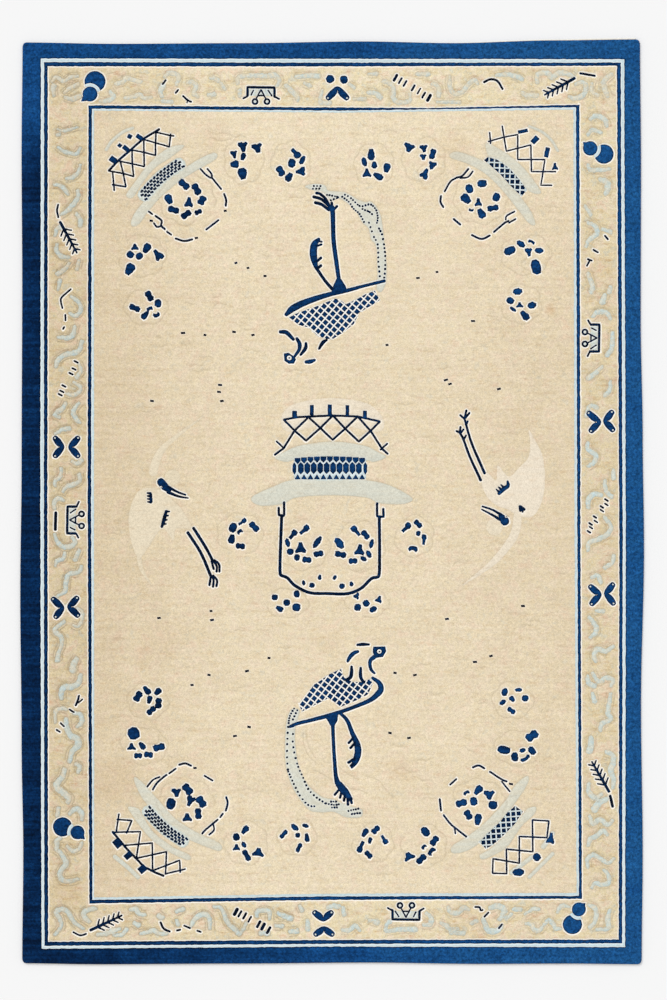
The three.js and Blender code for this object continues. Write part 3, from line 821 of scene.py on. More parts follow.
# Pheasants and cranes, in navy. Columns: width, points that the stroke runs through
BIRD_STROKES = [
    # far pheasant: toes, legs, belly, neck
    (2.8, [(316.2, 193), (320, 193.8), (325.6, 198.8), (330, 207)]),
    (3, [(313.4, 196.7), (320.6, 198.8), (327.8, 204.6), (331.4, 209)]),
    (3, [(315, 202.5), (322, 204.6), (329, 210)]),
    (2.4, [(331.7, 202.5), (332.1, 208)]),
    (2.2, [(337.2, 206), (333.4, 210)]),
    ((6, 4.6, 4.3, 4.2, 3.9), [(331.6, 207.5), (332.8, 214), (333.6, 240), (336.4, 262), (338.8, 279)]),
    ((3, 6.4, 7.2, 6.4, 3.6), [(319, 238.8), (314.4, 244.4), (313.4, 253), (314.2, 260), (316.4, 268)]),
    (1.8, [(317, 240.6), (322, 241.8)]),
    (1.8, [(317, 246), (321.8, 244.2)]),
    (2.6, [(316, 262), (321.2, 257.6)]),
    (2.4, [(316.6, 269), (321.2, 265.4)]),
    ((3.2, 3, 3.4), [(316.2, 267.5), (324.2, 279.5), (332.2, 289)]),
    ((3, 3.2, 3.8, 4.6, 6.2, 6.6, 3.6), [(384.8, 280.8), (362.5, 286.3), (346.6, 290.6), (327.8, 294.8),
                                         (306, 302), (293, 308.4), (286, 314.8)]),
    ((3.2, 4.2, 3), [(280, 331.8), (286.5, 332.6), (293.6, 339.6)]),
    ((3, 4, 3.4, 2.6), [(296.7, 338.3), (299.6, 344), (299, 350), (294.6, 356.4)]),
    ((2.4, 3.6, 2.4), [(306, 342.6), (305.4, 348.4), (300.4, 355)]),
    ((2.4, 3.6, 2.4), [(327, 339.7), (322.7, 342.6), (319, 349)]),
    ((3, 4.2, 2.6), [(305.6, 362), (310, 361.6), (314.8, 360)]),
    # near pheasant: neck, crest, belly, legs
    ((4.4, 3.8, 3.4, 3, 2), [(374.2, 657), (370.6, 660.2), (370, 665.7), (371.8, 670.6), (374.9, 673.6)]),
    ((2.4, 3.2, 2.2), [(357, 645), (363, 644.4), (369.4, 644.6)]),
    ((2.6, 4, 3.6, 2.4), [(358.3, 651.4), (353.5, 653.4), (349.2, 658.3), (347.6, 662)]),
    ((2.4, 3.4, 3.6, 3), [(351.6, 666.3), (351.6, 671.8), (350.4, 677.3), (346, 680.3)]),
    ((2.4, 3.4, 3.2, 2.4), [(360.8, 667.5), (360.5, 674.2), (361.4, 679), (364.5, 682.8)]),
    (
        (3, 4.6, 5.6, 5.6, 4.4, 3.8, 3.8, 4, 3.6, 3.4, 3),
        [(372.4, 677.9), (379, 682.8), (381, 688.9), (378, 693.8), (370.6, 699.9), (358.3, 705.4),
         (343.7, 710.9), (327.8, 715.8), (309.4, 720.7), (297.2, 723.7), (290, 726.8)],
    ),
    ((3.6, 3.4, 4, 5.5), [(332.7, 724), (333.9, 750), (335.7, 774.5), (337.6, 783)]),
    ((6.5, 7.4, 4.6), [(338.6, 784), (344.6, 791.6), (350.8, 799.6)]),
    (2, [(338.8, 790), (334.5, 795.3)]),
    (2.2, [(341.4, 792.8), (340, 798)]),
    (2.2, [(345, 795), (344, 801)]),
    (2.2, [(347.6, 798.6), (348, 805)]),
    (2.2, [(350.6, 798.6), (351.8, 803.4)]),
    ((3, 3.8, 4.4, 6, 6.6, 6, 2.4), [(340, 713), (347.3, 720.7), (352.2, 732.9), (357, 743.9),
                                     (358, 752.5), (355.6, 761), (351.6, 767.8)]),
    (2.2, [(353.5, 737.8), (348.6, 743.3)]),
    (2.2, [(355.3, 742.7), (350.4, 748.2)]),
    (2.8, [(354.5, 758.8), (348.2, 762.8)]),
    (2, [(353.5, 763), (350.4, 766)]),
    # left crane: head, beak, feathers, legs
    ((7.2, 7.6, 4.6), [(160.2, 481.2), (164.4, 486.2), (169.6, 490.4)]),
    ((3, 2.2, 1.8), [(168.6, 487.2), (177, 491.8), (185.8, 495)]),
    ((3.2, 2.4, 1.5), [(167.6, 492), (178, 496.2), (188.4, 498.1)]),
    (2.8, [(150.6, 494), (151.2, 502)]),
    ((2.6, 3.6, 2.6), [(166.2, 511), (164.2, 519), (161.8, 527)]),
    (3, [(187.7, 532.4), (201, 553.3), (211.2, 577)]),
    ((3, 3, 2.8), [(193.4, 528), (205.8, 547.6), (212.8, 561)]),
    (2, [(211, 576), (209.3, 585.6)]),
    (2, [(212, 576), (213.6, 580), (213, 587.2)]),
    (2, [(213, 575.5), (217, 580.5), (216.3, 586.6)]),
    (2, [(211.5, 561), (213.8, 569.5)]),
    (2, [(213, 560.5), (216.6, 566), (216.6, 572)]),
    (2, [(214, 560), (219, 564.4), (219.4, 572)]),
    # right crane: legs, feet, feathers, head, beak
    ((2.8, 2.5, 2.3), [(484.7, 473.3), (471.8, 443.4), (464.8, 419.5)]),
    ((2.8, 2.5, 2.3), [(480.9, 480.4), (470, 457), (463.2, 438.4)]),
    (2.1, [(463.2, 438.4), (459.5, 432)]),
    (1.9, [(464.8, 419.1), (460.2, 415)]),
    (1.9, [(464.8, 418), (466.5, 410.2)]),
    (1.9, [(465.4, 418), (469.7, 412.6)]),
    (1.8, [(465.8, 425), (468, 421)]),
    (1.9, [(460, 432.6), (456.2, 431)]),
    (1.9, [(459.8, 432.6), (460.7, 426.6)]),
    (1.8, [(460.6, 433), (463.8, 429.2)]),
    (1.8, [(464, 439), (466.2, 435.2)]),
    ((3.2, 4.4, 3.8, 2.2), [(498.8, 493.8), (503.4, 489.2), (508, 485.8), (507.6, 481)]),
    (2, [(519.7, 506), (520.4, 511.2)]),
    (2.4, [(520.3, 506.4), (524.6, 509.6)]),
    (1.8, [(522, 509), (522.8, 512)]),
    ((4.6, 8.4, 8), [(500.4, 515.4), (504.4, 520.4), (505.4, 522.4)]),
    ((1.8, 2, 2.8), [(482.2, 506.4), (491.8, 509.6), (501, 514.6)]),
    ((1.6, 2.2, 3), [(481.6, 509.3), (492.4, 515), (500, 519.6)]),
]
# Columns: foot of the comb, its far end, tooth across and down, teeth
COMBS = [
    ((150.5, 493.4), (151, 502.2), (-3.6, -0.4), 4),
    ((166.3, 511.5), (162.9, 524), (3.4, 0), 4),
    ((499, 492), (503.6, 487.4), (-2.8, -2.8), 3),
]
# Bodies with a net of light lines. Columns: turn of the net in degrees, outline
NET_BODIES = [
    (
        40,
        [(289, 317.3), (299, 312.3), (313.4, 307.6), (326.4, 302.2), (335, 298.6), (339.4, 299.3),
         (346, 304.3), (356.7, 299.3), (365.4, 294.2), (374.8, 290.6), (379.8, 300), (369.7, 306.5),
         (359.6, 312.3), (353.8, 323.8), (345, 331), (332, 339.7), (326, 338.6), (317.7, 336),
         (309, 327.6), (299, 325)],
    ),
    (
        37,
        [(298.6, 704), (306, 695), (314.5, 684.5), (330, 674), (341, 669), (344, 677.5), (352.7, 682),
         (362, 682), (370.6, 679), (372.6, 684), (368, 694.5), (357.4, 700), (341, 707), (335, 702.5),
         (329, 698), (316, 704.5), (302, 711.5)],
    ),
]
NET_BODY_PITCH = 5.7
# Outlines of the pheasants' heads, thighs and tails
HEADS = [
    [(283.7, 353.5), (288.8, 352.5), (294.6, 357), (296.2, 359.4), (293.8, 363.6), (288.8, 363.8),
     (284.5, 360.8)],
    [(373.4, 646.7), (385.2, 646.5), (386.4, 651), (382.8, 657.2), (375.5, 658), (372.6, 652.2)],
]
THIGHS = [
    [(336.4, 278.6), (341, 278.6), (346, 286.3), (347, 291.3), (331, 293), (333, 286.3)],
    [(324, 716.4), (338.2, 713.6), (337.6, 720.7), (334.6, 726), (330.8, 726.4), (327.2, 720)],
]
# Columns: across, down, radius
EYES = [(289.3, 357.9, 2.4), (379.4, 651.5, 2.3), (506.3, 516.5, 1.5), (161, 487.3, 1.4)]
TAILS = [
    [(304.7, 186.6), (313.4, 183.7), (324.9, 185), (328.5, 190.5), (345, 192.2), (356.7, 198.8),
     (365.4, 202), (371.2, 201.5), (378.4, 209.7), (382, 221.2), (384.2, 240), (386.5, 261.7), (386, 282),
     (381.3, 292), (376.5, 289), (377.4, 279), (376.2, 247.3), (371.2, 240), (368.3, 228.5),
     (362.5, 222.7), (356.7, 212.6), (348, 203.9), (339.4, 198.8), (332, 200.6), (327, 196.5),
     (322, 191.6), (313.4, 190.4)],
    [(292, 709), (287.2, 718.2), (285.4, 733), (284.8, 750), (286.2, 768.4), (292.3, 786.7), (302.6, 803),
     (310.7, 811), (322, 812.6), (333.9, 812), (346, 817.2), (360.8, 817.2), (362.4, 810), (353.5, 807),
     (341.2, 802.6), (333.9, 799.6), (321.7, 796.6), (309.4, 786.4), (300.9, 772), (296, 750),
     (295.4, 728), (299.7, 711)],
]
# Rows of single dark knots on the tails. Columns: squares between knots, points that the row runs through
TAIL_DOTS = [
    (2.7, [(313.8, 186), (320.4, 186)]),
    (2.7, [(313, 188.8), (319.4, 188.6)]),
    (2.5, [(327, 194.8), (338, 197.2), (330.7, 200.2)]),
    (2.9, [(345, 194.6), (351, 198.2), (359.6, 206), (365.4, 205.2), (371.2, 204.6), (376.2, 210.4),
           (377.8, 218), (377, 222.8)]),
    (2.9, [(342.3, 196.8), (348.8, 201.8), (353.8, 209), (359.6, 214), (364, 222)]),
    (2.7, [(362.5, 209), (369.7, 212), (372, 214.2)]),
    (4.2, [(369, 222.7), (371.9, 231.4), (374, 237), (377.6, 244.4), (378.4, 261.7), (379.9, 276.2)]),
    (4.2, [(379, 228.5), (382, 234.3), (384, 244.4), (385.2, 256), (385.2, 269), (384.2, 277.6)]),
    (2.9, [(294, 708.6), (290, 715.8), (288.6, 723)]),
    (2.9, [(297.2, 710.2), (293, 719.4)]),
    (6.6, [(288, 727), (287.2, 744), (287, 757.4), (288, 769.6)]),
    (6.6, [(293.4, 726), (292.8, 741.5), (294.2, 752.5), (297.2, 763.5)]),
    (3.8, [(288.4, 771.5), (292.3, 780.6), (299.7, 795.3), (308.2, 805), (314.3, 806.3)]),
    (3.8, [(298.2, 767), (303.3, 778), (308.2, 789), (316.8, 797.7), (325.3, 803.2)]),
    (2.6, [(326, 803.4), (334, 805), (338.8, 804.4)]),
    (2.6, [(331, 801.6), (336, 801.6)]),
    (2.6, [(332, 807.6), (337, 807.4)]),
    (2.6, [(348.6, 811), (358.3, 808.7)]),
    (2.6, [(352, 814), (360, 813)]),
]

# Cranes in undyed ivory, a shade lighter than the field. Columns: lot, outline
CRANE_BODIES = [
    (0.22, [(152.4, 488), (139, 490.6), (130.1, 508.4), (128.8, 527.6), (132.7, 546.7), (139, 558.2),
            (148, 548), (162, 528.8), (173.5, 540.3), (176, 528.8), (191.3, 527.6), (181.1, 508.4),
            (173.5, 500.8), (163.3, 491.8)]),
    (0.5, [(529, 430), (536, 441.8), (542.5, 455.7), (545, 476), (543.8, 494), (538.7, 509), (531, 517),
           (518, 516), (508.8, 510), (496, 505), (486.5, 496), (481.4, 482), (486.6, 472.7), (496, 480),
           (498, 465.5), (508.8, 476.5), (519.6, 467), (528.5, 457), (530, 443)]),
]
# Columns: lot, widths, points that the stroke runs through
CRANE_STROKES = [
    (0.2, (1.2, 4, 6.6, 8.4, 9), [(203.6, 415.8), (176, 437), (162.5, 449), (156, 461.5), (153, 473)]),
    (0.15, (5, 4, 2.5, 1.2), [(139, 558), (141.6, 569.6), (146, 577), (150.5, 583.7)]),
    (0.45, (8, 9, 8, 5, 1.2), [(517.7, 514.8), (516.4, 527.6), (511.3, 540.3), (496, 559.4),
                               (480.7, 572.2), (462.9, 585)]),
]
# Columns: lot, across, down, radius
CRANE_CRESTS = [(0.1, 172.6, 477.6, 8), (0.3, 494.6, 527, 8.4)]

# Lobed lines clipped into the plain ivory round each sprig.
# Columns: across, down, half wide, half high, lobes
CLIPPED_RINGS = [
    (244, 160, 19, 23, 7), (291, 164, 19, 22, 7), (374, 165, 19, 21, 7), (424, 160, 21, 22, 7),
    (142, 256, 23, 20, 7), (146, 307, 21, 17, 6), (526, 254, 24, 20, 7), (521, 304, 20, 19, 6),
    (148, 701, 20, 18, 6), (144, 746, 23, 18, 7), (513, 700, 20, 18, 6), (518, 748, 23, 17, 7),
    (246, 843, 21, 21, 7), (297, 837, 19, 18, 6), (373, 843, 20, 19, 7), (424, 846, 22, 21, 7),
    (240, 534, 22, 20, 7), (414, 536, 19, 20, 6), (187, 199, 27, 25, 8), (481, 198, 26, 25, 8),
    (186, 803, 27, 24, 8), (478, 804, 27, 24, 8), (303, 545, 26, 24, 8), (360, 546, 24, 24, 8),
    (287, 603, 21, 14, 6), (367, 603, 21, 14, 6),
]  # fmt: skip

# Longer creases beside the near pheasant, and the leaf clipped behind it
CREASE_LINES = [
    [(338, 766), (345, 772), (352, 776), (358, 780)],
    [(313, 769), (321, 773), (328, 777), (333, 780)],
    [(366, 776), (374, 778), (381, 783), (386, 790), (392, 796)],
    [(345, 785), (352, 789), (360, 790), (368, 794)],
    [(395, 770), (403, 768), (410, 772), (418, 771)],
    [(303, 733), (304, 745), (309, 756), (318, 764)],
    [(306, 733), (308, 744), (312, 753), (318, 761)],
    [(208, 131), (216, 134), (224, 133), (236, 137)],
    [(212, 138), (221, 141), (230, 139)],
]
CREASES = 200
LARGEST_MOTIF = 100  # squares: a larger indigo shape is a band
CREASE_CLEAR = 1.6  # squares kept clear round indigo motifs
# Grounds that creases may cross. Columns: far left corner, near right corner
PLAIN_GROUNDS = [
    ((97, 116), (571, 889)),
    ((50, 69), (614, 102)),
    ((51, 906), (615, 937)),
    ((50, 69), (85, 937)),
    ((584, 69), (615, 937)),
]
# Stains on the ivory. Columns: across, down, radius, share
STAINS = [
    (550, 311, 4.5, 0.5), (455, 150, 20, 0.12), (115, 780, 24, 0.12), (400, 770, 16, 0.14),
    (66, 260, 20, 0.1), (70, 890, 18, 0.16), (240, 925, 30, 0.12), (470, 925, 26, 0.12),
    (215, 135, 16, 0.1), (330, 640, 18, 0.08), (600, 270, 14, 0.16), (160, 640, 22, 0.08),
    (520, 420, 18, 0.06),
]  # fmt: skip

# Single dark knots scattered over the field
SPECKS = [
    (236, 263), (248, 268), (265, 276), (183, 333), (205, 335), (234, 332), (253, 335), (152, 401),
    (220, 385), (219, 392), (222, 401), (418, 278), (437, 272), (387, 345), (473, 321), (446, 380),
    (450, 384), (499, 389), (159, 618), (211, 611), (212, 620), (247, 671), (269, 658), (209, 675),
    (192, 685), (523, 606), (447, 619), (475, 662), (491, 656), (395, 673), (415, 675), (249, 727),
    (235, 736), (390, 733), (409, 738), (225.3, 210.8), (196.4, 238), (151.2, 220.7), (195, 768),
    (511, 784),
]  # fmt: skip

LINE = 0.14  # darkness of thin navy lines, on the scale of indigo lots
MOTIF = 0.42
PETAL_LOT = 0.4
GOURD_LOT = 0.66
GOURD_GAP = 3.3  # squares of light wool where the small disc lies over the big one
GOURD_TIP = 0.72  # width of the pointed end where it leaves the small disc, as a share of it
MARK = 0.04  # small marks of the border
TRAY_LOT = 0.1
WEBBING = 0.5  # pale wool inside the trays and under the nets
HAT = 0.8  # brims, hulls and tails, greyed by age
BRIGHT_PALE = 0.1  # the least faded pale blue

# Scrolls of the border
SCROLL_WIDTHS = (0.85, 1.15, 1.2, 0.8)  # along a scroll, as shares of its width
SCROLL_LOTS = (0.4, 0.66)  # from the least to the most faded
FADED = 0.18  # added to the lot at the far end,
FADED_DOWN = 104  # squares down that it reaches
SHADED_DUSTY_ACROSS = 100  # squares across: the left side gets deeper scroll grooves, darker with painted shade and dust,
SHADED_DUSTY_DOWN = 900  # and so does the near end,
SHADED_DUSTY_NEAR_ACROSS = 300  # this far across
SCROLL_LINE_OUT = 1.5  # squares, from a scroll to the line clipped beside it
SCROLL_LINE_RUN = 6  # points that such a line runs before it may break off

# Ferns and wings of the border
FERN_LEAVES = 5  # pairs
FERN_FIRST = 0.22  # share of the stem at the first pair,
FERN_NEXT = 0.16  # and from each pair to the next
LEAF_REACH = 7.3  # squares, less LEAF_LESS for each pair after the first
LEAF_LESS = 0.5
WING_WIDTHS = (5.8, 7, 4.8, 7, 5.8)

# Nets of the baskets
NET_KNOT = [(-2, -1.05), (1.55, -1.3), (2.05, 1), (-1.55, 1.3)]
NET_KNOT_PITCH = 4.4
NET_TILT = 18  # degrees, one way and the other in turn
NET_BULGE = 2.4
NET_FIRST = 297.6  # squares across: the first knot of the middle basket's net
NET_MIDDLE = 330
NET_KNOTS = 11
NET_RIM = [(294, 458.5), (330, 456), (366, 458.5), (366, 478.5), (330, 480), (294, 478.5)]
NET_TOP = 458  # squares down: its three rows
NET_WAIST = 468.2
NET_LOW = 479.3
PLAIT_WIDE = 1.25  # light lines over a dark net

# Handmade lines come out bolder than drawn: shares of the drawn width
BOLD_LATTICE = 1.25
BOLD_HANDLE = 1.2
BOLD_TRAY = 1.4
BOLD_MARK = 1.1
BOLD_PETAL = 1.09
THIN_STROKE = 2.5  # squares: thinner strokes of the birds gain more than the others
BOLD_THIN = 1.2
BOLD_BODY = 1.05


def draw_frames(frames):
    """Guard stripes and the grounds within them."""
    for dye, lot, groove, corners in frames:
        patch(dye, lot, corners, step=2.5, shake=0.28, groove=groove)


def draw_scrolls():
    """Cloud scrolls all the way round the border, low in contrast."""
    for wide, points in SCROLLS:
        across, down = points[0]
        # scrolls on the left side and the near end get deeper grooves, so more painted shade and dust
        shaded_and_dusty = across < SHADED_DUSTY_ACROSS or (down > SHADED_DUSTY_DOWN and across < SHADED_DUSTY_NEAR_ACROSS)
        groove = SHADED_DUSTY_SCROLL_GROOVE if shaded_and_dusty else SCROLL_GROOVE
        lot = rng.uniform(*SCROLL_LOTS) + (FADED if down < FADED_DOWN else 0)
        widths = [wide * share for share in SCROLL_WIDTHS]
        stroke(PALE, lot, widths, points, step=1.8, shake=0.45, groove=groove)
        path = steps_between(points, LINE_STEP, True)
        side = directions(path)[1]
        reach = wide * 0.6 + SCROLL_LINE_OUT
        scroll_lines.extend((path + turn * reach * side, groove) for turn in (-1, 1))


def draw_border_motifs():
    """Gourds, ferns, wings, trays and small marks."""
    for big, big_radius, small, small_radius, tip in GOURDS:
        disc(INDIGO, GOURD_LOT, *big, big_radius)
        facing = math.atan2(big[1] - small[1], big[0] - small[0])
        reach = small_radius + GOURD_GAP
        arc = [facing + math.radians(turn) for turn in range(-100, 101, 10)]
        gap = [(small[0] + reach * math.cos(turn), small[1] + reach * math.sin(turn)) for turn in arc]
        gap = [p for p in gap if math.dist(p, big) < big_radius + 1.2]
        patch(PALE, BRIGHT_PALE, [small, *gap], groove=1)
        disc(INDIGO, GOURD_LOT, *small, small_radius)
        away = (tip[0] - small[0], tip[1] - small[1])
        reach = math.hypot(*away)
        side = (-away[1] / reach * small_radius * GOURD_TIP, away[0] / reach * small_radius * GOURD_TIP)
        foot = (small[0] + away[0] * 0.3, small[1] + away[1] * 0.3)
        corners = [(foot[0] + side[0], foot[1] + side[1]), tip, (foot[0] - side[0], foot[1] - side[1])]
        patch(INDIGO, GOURD_LOT, corners)
    for foot, tip in FERNS:
        angle = math.degrees(math.atan2(tip[1] - foot[1], tip[0] - foot[0]))
        length = math.dist(foot, tip)
        middle = ((foot[0] + tip[0]) / 2, (foot[1] + tip[1]) / 2)
        stroke(INDIGO, LINE, (3, 2.8, 1.8), [foot, middle, tip])
        for k in range(FERN_LEAVES):
            at = length * (FERN_FIRST + FERN_NEXT * k)
            reach = LEAF_REACH - LEAF_LESS * k
            for side in (-1, 1):
                leaf = placed([(at, 0), (at + reach * 0.7, side * reach * 0.85)], foot, angle)
                stroke(INDIGO, LINE, (2, 1.5), leaf)
    for wing in WINGS:
        waist = wing[1]
        arms = [((end[0] + waist[0]) / 2, (end[1] + waist[1]) / 2) for end in (wing[0], wing[2])]
        stroke(INDIGO, MOTIF, WING_WIDTHS, [wing[0], arms[0], waist, arms[1], wing[2]])
        for end in (wing[0], wing[2]):
            disc(PALE, 0.3, *end, 0.9, groove=0.8)
    for x, y in WING_KNOBS:
        disc(INDIGO, MOTIF, x, y, 4.2, shake=0.4)
    for origin, turn in TRAYS:
        tray = placed([(-12.5, 1), (12.5, 1), (12.5, 9), (-12.5, 9)], origin, turn)
        patch(PALE, WEBBING, tray, groove=0.6)
        for wide, points in TRAY_STROKES:
            stroke(INDIGO, TRAY_LOT, wide * BOLD_TRAY, placed(points, origin, turn), soft=False)
        for centre in TRAY_RINGS:
            x, y = placed([centre], origin, turn)[0]
            disc(INDIGO, TRAY_LOT, x, y, 3.5)
            disc(PALE, WEBBING, x, y, 1.5, groove=0.8)
    for wide, points in BORDER_MARKS:
        stroke(INDIGO, MARK, wide * BOLD_MARK, points)
    for (dx, dy), ticks in TICKS:
        for x, y, wide in ticks:
            stroke(INDIGO, MARK, wide * BOLD_MARK, [(x - dx, y - dy), (x + dx, y + dy)])


def draw_petals():
    """Petals and leaves of all the sprigs."""
    for form, x, y, long, wide, turn in PETALS:
        whole = [(px * long * BOLD_PETAL, py * wide * BOLD_PETAL) for px, py in PETAL_FORMS[form]]
        lot = PETAL_LOT + rng.uniform(-0.08, 0.08)
        patch(INDIGO, lot, placed(whole, (x, y), turn), step=1.4, shake=0.24)


def draw_net(start, end, half, rows):
    """Band of short indigo dashes on pale wool, brick fashion."""
    length = math.dist(start, end)
    angle = math.degrees(math.atan2(end[1] - start[1], end[0] - start[0]))
    spine = placed([(0, 0), (length / 2, -NET_BULGE), (length, 0)], start, angle)
    stroke(PALE, WEBBING, 2 * half + 2.4, spine, groove=0.6)
    count = round(length / NET_KNOT_PITCH)
    for row in range(rows):
        y = -half + (row + 0.5) * 2 * half / rows
        for k in range(count + row % 2):
            x = (k + 0.5 * (1 - row % 2)) * length / count
            bulge = NET_BULGE * (1 - (2 * x / length - 1) ** 2)
            spot = placed([(x, y - bulge)], start, angle)[0]
            tilt = NET_TILT if row % 2 else -NET_TILT
            knot = placed(NET_KNOT, spot, angle + tilt + rng.uniform(-8, 8))
            patch(INDIGO, LINE, knot, step=2.4, groove=0.9)


def draw_middle_net():
    """Net of the middle basket: shields above, hexagons at its waist, triangles below."""
    patch(PALE, BRIGHT_PALE, NET_RIM, groove=0.8)
    for k in range(NET_KNOTS):
        x = NET_FIRST + k * NET_PITCH
        top = NET_TOP - 1.6 * (1 - ((x - NET_MIDDLE) / 33) ** 2)
        shield = [(-2.95, 0), (2.95, 0), (2.95, 3.2), (0, 6.3), (-2.95, 3.2)]
        patch(INDIGO, MOTIF, [(x + across, top + down) for across, down in shield])
        patch(INDIGO, MOTIF, [(x - 3.1, NET_LOW), (x, NET_LOW - 5.2), (x + 3.1, NET_LOW)])
    for k in range(NET_KNOTS + 1):
        x = NET_FIRST + (k - 0.5) * NET_PITCH
        y = NET_WAIST - 0.6 * (1 - ((x - NET_MIDDLE) / 36) ** 2)
        wide = 2.95 if 0 < k < NET_KNOTS else 1.9
        hexagon = [(0, -6), (wide, -3), (wide, 3.4), (0, 6.6), (-wide, 3.4), (-wide, -3)]
        patch(INDIGO, MOTIF, [(x + across, y + down) for across, down in hexagon])


def draw_baskets():
    """The middle basket and the four in the corners."""
    patch(WHITE, 0.45, BASKET_HAZE, soft=True, groove=0.3)
    patch(PALE, HAT, BASKET_BRIM, soft=True, groove=1)
    patch(PALE, HAT, BASKET_BOAT, soft=True, groove=1)
    draw_middle_net()
    for outline in CORNER_PALE:
        patch(PALE, 0.85, outline, soft=True, groove=1)
    for wide, points in CORNER_STRIPS:
        stroke(PALE, 0.75, wide * BOLD_MARK, points, groove=1)
    for wide, points in BASKET_LINES + CORNER_LINES:
        stroke(INDIGO, LINE, wide * BOLD_LATTICE, points, soft=False)
    for x, y, wide, high, turn in BASKET_BLOCKS + CORNER_BLOCKS:
        patch(INDIGO, MOTIF, placed(block(wide, high), (x, y), turn))
    for start, end, half, rows in CORNER_NETS:
        draw_net(start, end, half, rows)
    for outline, turn in PLAITED_NETS:
        patch(INDIGO, LINE, outline)
        hatch(outline, turn, PLAIT_PITCH, PALE, 0.2)
    stroke(INDIGO, LINE, 3.2, VASE)
    for fork in VASE_FORKS:
        stroke(INDIGO, LINE, 2.5, fork, soft=False)
    for wide, points in HANDLES:
        stroke(INDIGO, LINE, wide * BOLD_HANDLE, points)


def hatch(outline, turn, pitch, dye, lot):
    """Light lines across a dark outline, both ways, as a net."""
    middle = np.mean(outline, axis=0)
    for angle in (turn, turn + 90):
        c, s = math.cos(math.radians(angle)), math.sin(math.radians(angle))
        for k in range(-12, 13):
            base = (middle[0] - s * pitch * k, middle[1] + c * pitch * k)
            run = []
            for t in np.arange(-70, 70, 0.6):
                p = (base[0] + c * t, base[1] + s * t)
                if inside(outline, p):
                    run.append(p)
                elif run:
                    if len(run) > 3:
                        stroke(dye, lot, PLAIT_WIDE, [run[0], run[-1]], groove=0.8)
                    run = []


def clip_rings():
    """Lobed outlines and a stem, clipped into the plain pile round each sprig."""
    for across, down, wide, high, lobes in CLIPPED_RINGS:
        start = rng.uniform(0, 2 * math.pi)
        line = []
        for t in np.arange(0, 5.4, 0.16):
            reach = 1 + 0.13 * abs(math.sin(lobes * t / 2)) - 0.05
            turn = start + t
            line.append((across + wide * reach * math.cos(turn), down + high * reach * math.sin(turn)))
        clip_line(line)
        turn = start + rng.uniform(2.2, 3.4)
        heart = (across + wide * 0.2 * math.cos(turn), down + high * 0.2 * math.sin(turn))
        bend = (across + wide * 0.6 * math.cos(turn + 0.5), down + high * 0.6 * math.sin(turn + 0.5))
        tip = (across + wide * 0.85 * math.cos(turn), down + high * 0.85 * math.sin(turn))
        clip_line([heart, bend, tip])


def part_knots():
    """Lines clipped beside the scrolls, and wavy creases where knots have parted over the years."""
    for line in CREASE_LINES:
        clip_line(line)
    navy = [shape.outline for shape in cartoon if shape.dye == INDIGO]
    small = [outline for outline in navy if np.ptp(outline, axis=0).max() < LARGEST_MOTIF]
    low = np.array([outline.min(axis=0) for outline in small]) - CREASE_CLEAR
    high = np.array([outline.max(axis=0) for outline in small]) + CREASE_CLEAR
    wanted = []
    for line, depth in scroll_lines:
        for k in range(0, len(line) - 2, SCROLL_LINE_RUN - 1):
            wanted.append((line[k : k + SCROLL_LINE_RUN], depth))
    for _ in range(CREASES):
        x, y = rng.uniform(52, 612), rng.uniform(70, 936)
        along = np.arange(0, rng.uniform(4, 15), 1.2)
        rise = rng.uniform(-0.12, 0.12)
        wave = y + rise * along + 0.7 * np.sin(along * 0.6 + x)
        wanted.append((np.column_stack([x + along, wave]), LINE_GROOVE))
    for line, depth in wanted:
        grounds = [(line > a).all() and (line < b).all() for a, b in PLAIN_GROUNDS]
        motifs = (line[:, None] > low).all(axis=2) & (line[:, None] < high).all(axis=2)
        if len(line) > 2 and any(grounds) and not motifs.any():
            clip_line(line, depth)


def draw_birds():
    """Two cranes in undyed wool and two pheasants, then the specks between them."""
    for lot, body in CRANE_BODIES:
        patch(WHITE, lot, body, soft=True, groove=0.4)
    for lot, wide, points in CRANE_STROKES:
        stroke(WHITE, lot, wide, points, groove=0.4)
    for lot, x, y, radius in CRANE_CRESTS:
        disc(WHITE, lot, x, y, radius, groove=0.4)
    for tail in TAILS:
        patch(PALE, HAT, tail, soft=True, groove=1)
    for apart, row in TAIL_DOTS:
        for x, y in steps_between(row, apart, True):
            disc(INDIGO, 0.1, x, y, rng.uniform(1.1, 1.4), shake=0.22, groove=0.4)
    for turn, outline in NET_BODIES:
        patch(INDIGO, MOTIF, outline)
        hatch(outline, turn, NET_BODY_PITCH, WHITE, 1)
    for thigh in THIGHS:
        patch(INDIGO, MOTIF, thigh)
    for wide, points in BIRD_STROKES:
        bolder = BOLD_THIN if np.max(wide) < THIN_STROKE else BOLD_BODY
        stroke(INDIGO, LINE if np.max(wide) < 4 else MOTIF, np.multiply(wide, bolder), points)
    for head in HEADS:
        patch(INDIGO, MOTIF, head)
    for foot, end, (dx, dy), teeth in COMBS:
        for k in range(teeth):
            x = foot[0] + (end[0] - foot[0]) * k / (teeth - 1)
            y = foot[1] + (end[1] - foot[1]) * k / (teeth - 1)
            stroke(INDIGO, LINE, (3, 1.4), [(x, y), (x + dx, y + dy)])
    for x, y, radius in EYES:
        disc(WHITE, 1, x, y, radius)
        disc(INDIGO, 0, x, y, radius * 0.42, groove=0.4)
    for x, y in SPECKS:
        long = rng.uniform(1.5, 2.4)
        corners = [(-long, -1), (long * 0.8, -1.2), (long, 0.9), (-long * 0.8, 1.2)]
        patch(INDIGO, 0, placed(corners, (x, y), rng.uniform(-15, 15)), step=2, groove=0.2)


cartoon.append(Shape(INDIGO, 0.9, to_squares(ring(RIM[PILE_RIM][0]))[::-1], 0))
draw_frames(FRAMES)
draw_scrolls()
draw_frames(INNER_FRAMES)
draw_border_motifs()
draw_baskets()
draw_petals()
draw_birds()
clip_rings()
part_knots()

# The pile: the cartoon cut into triangles, one mesh for each dye

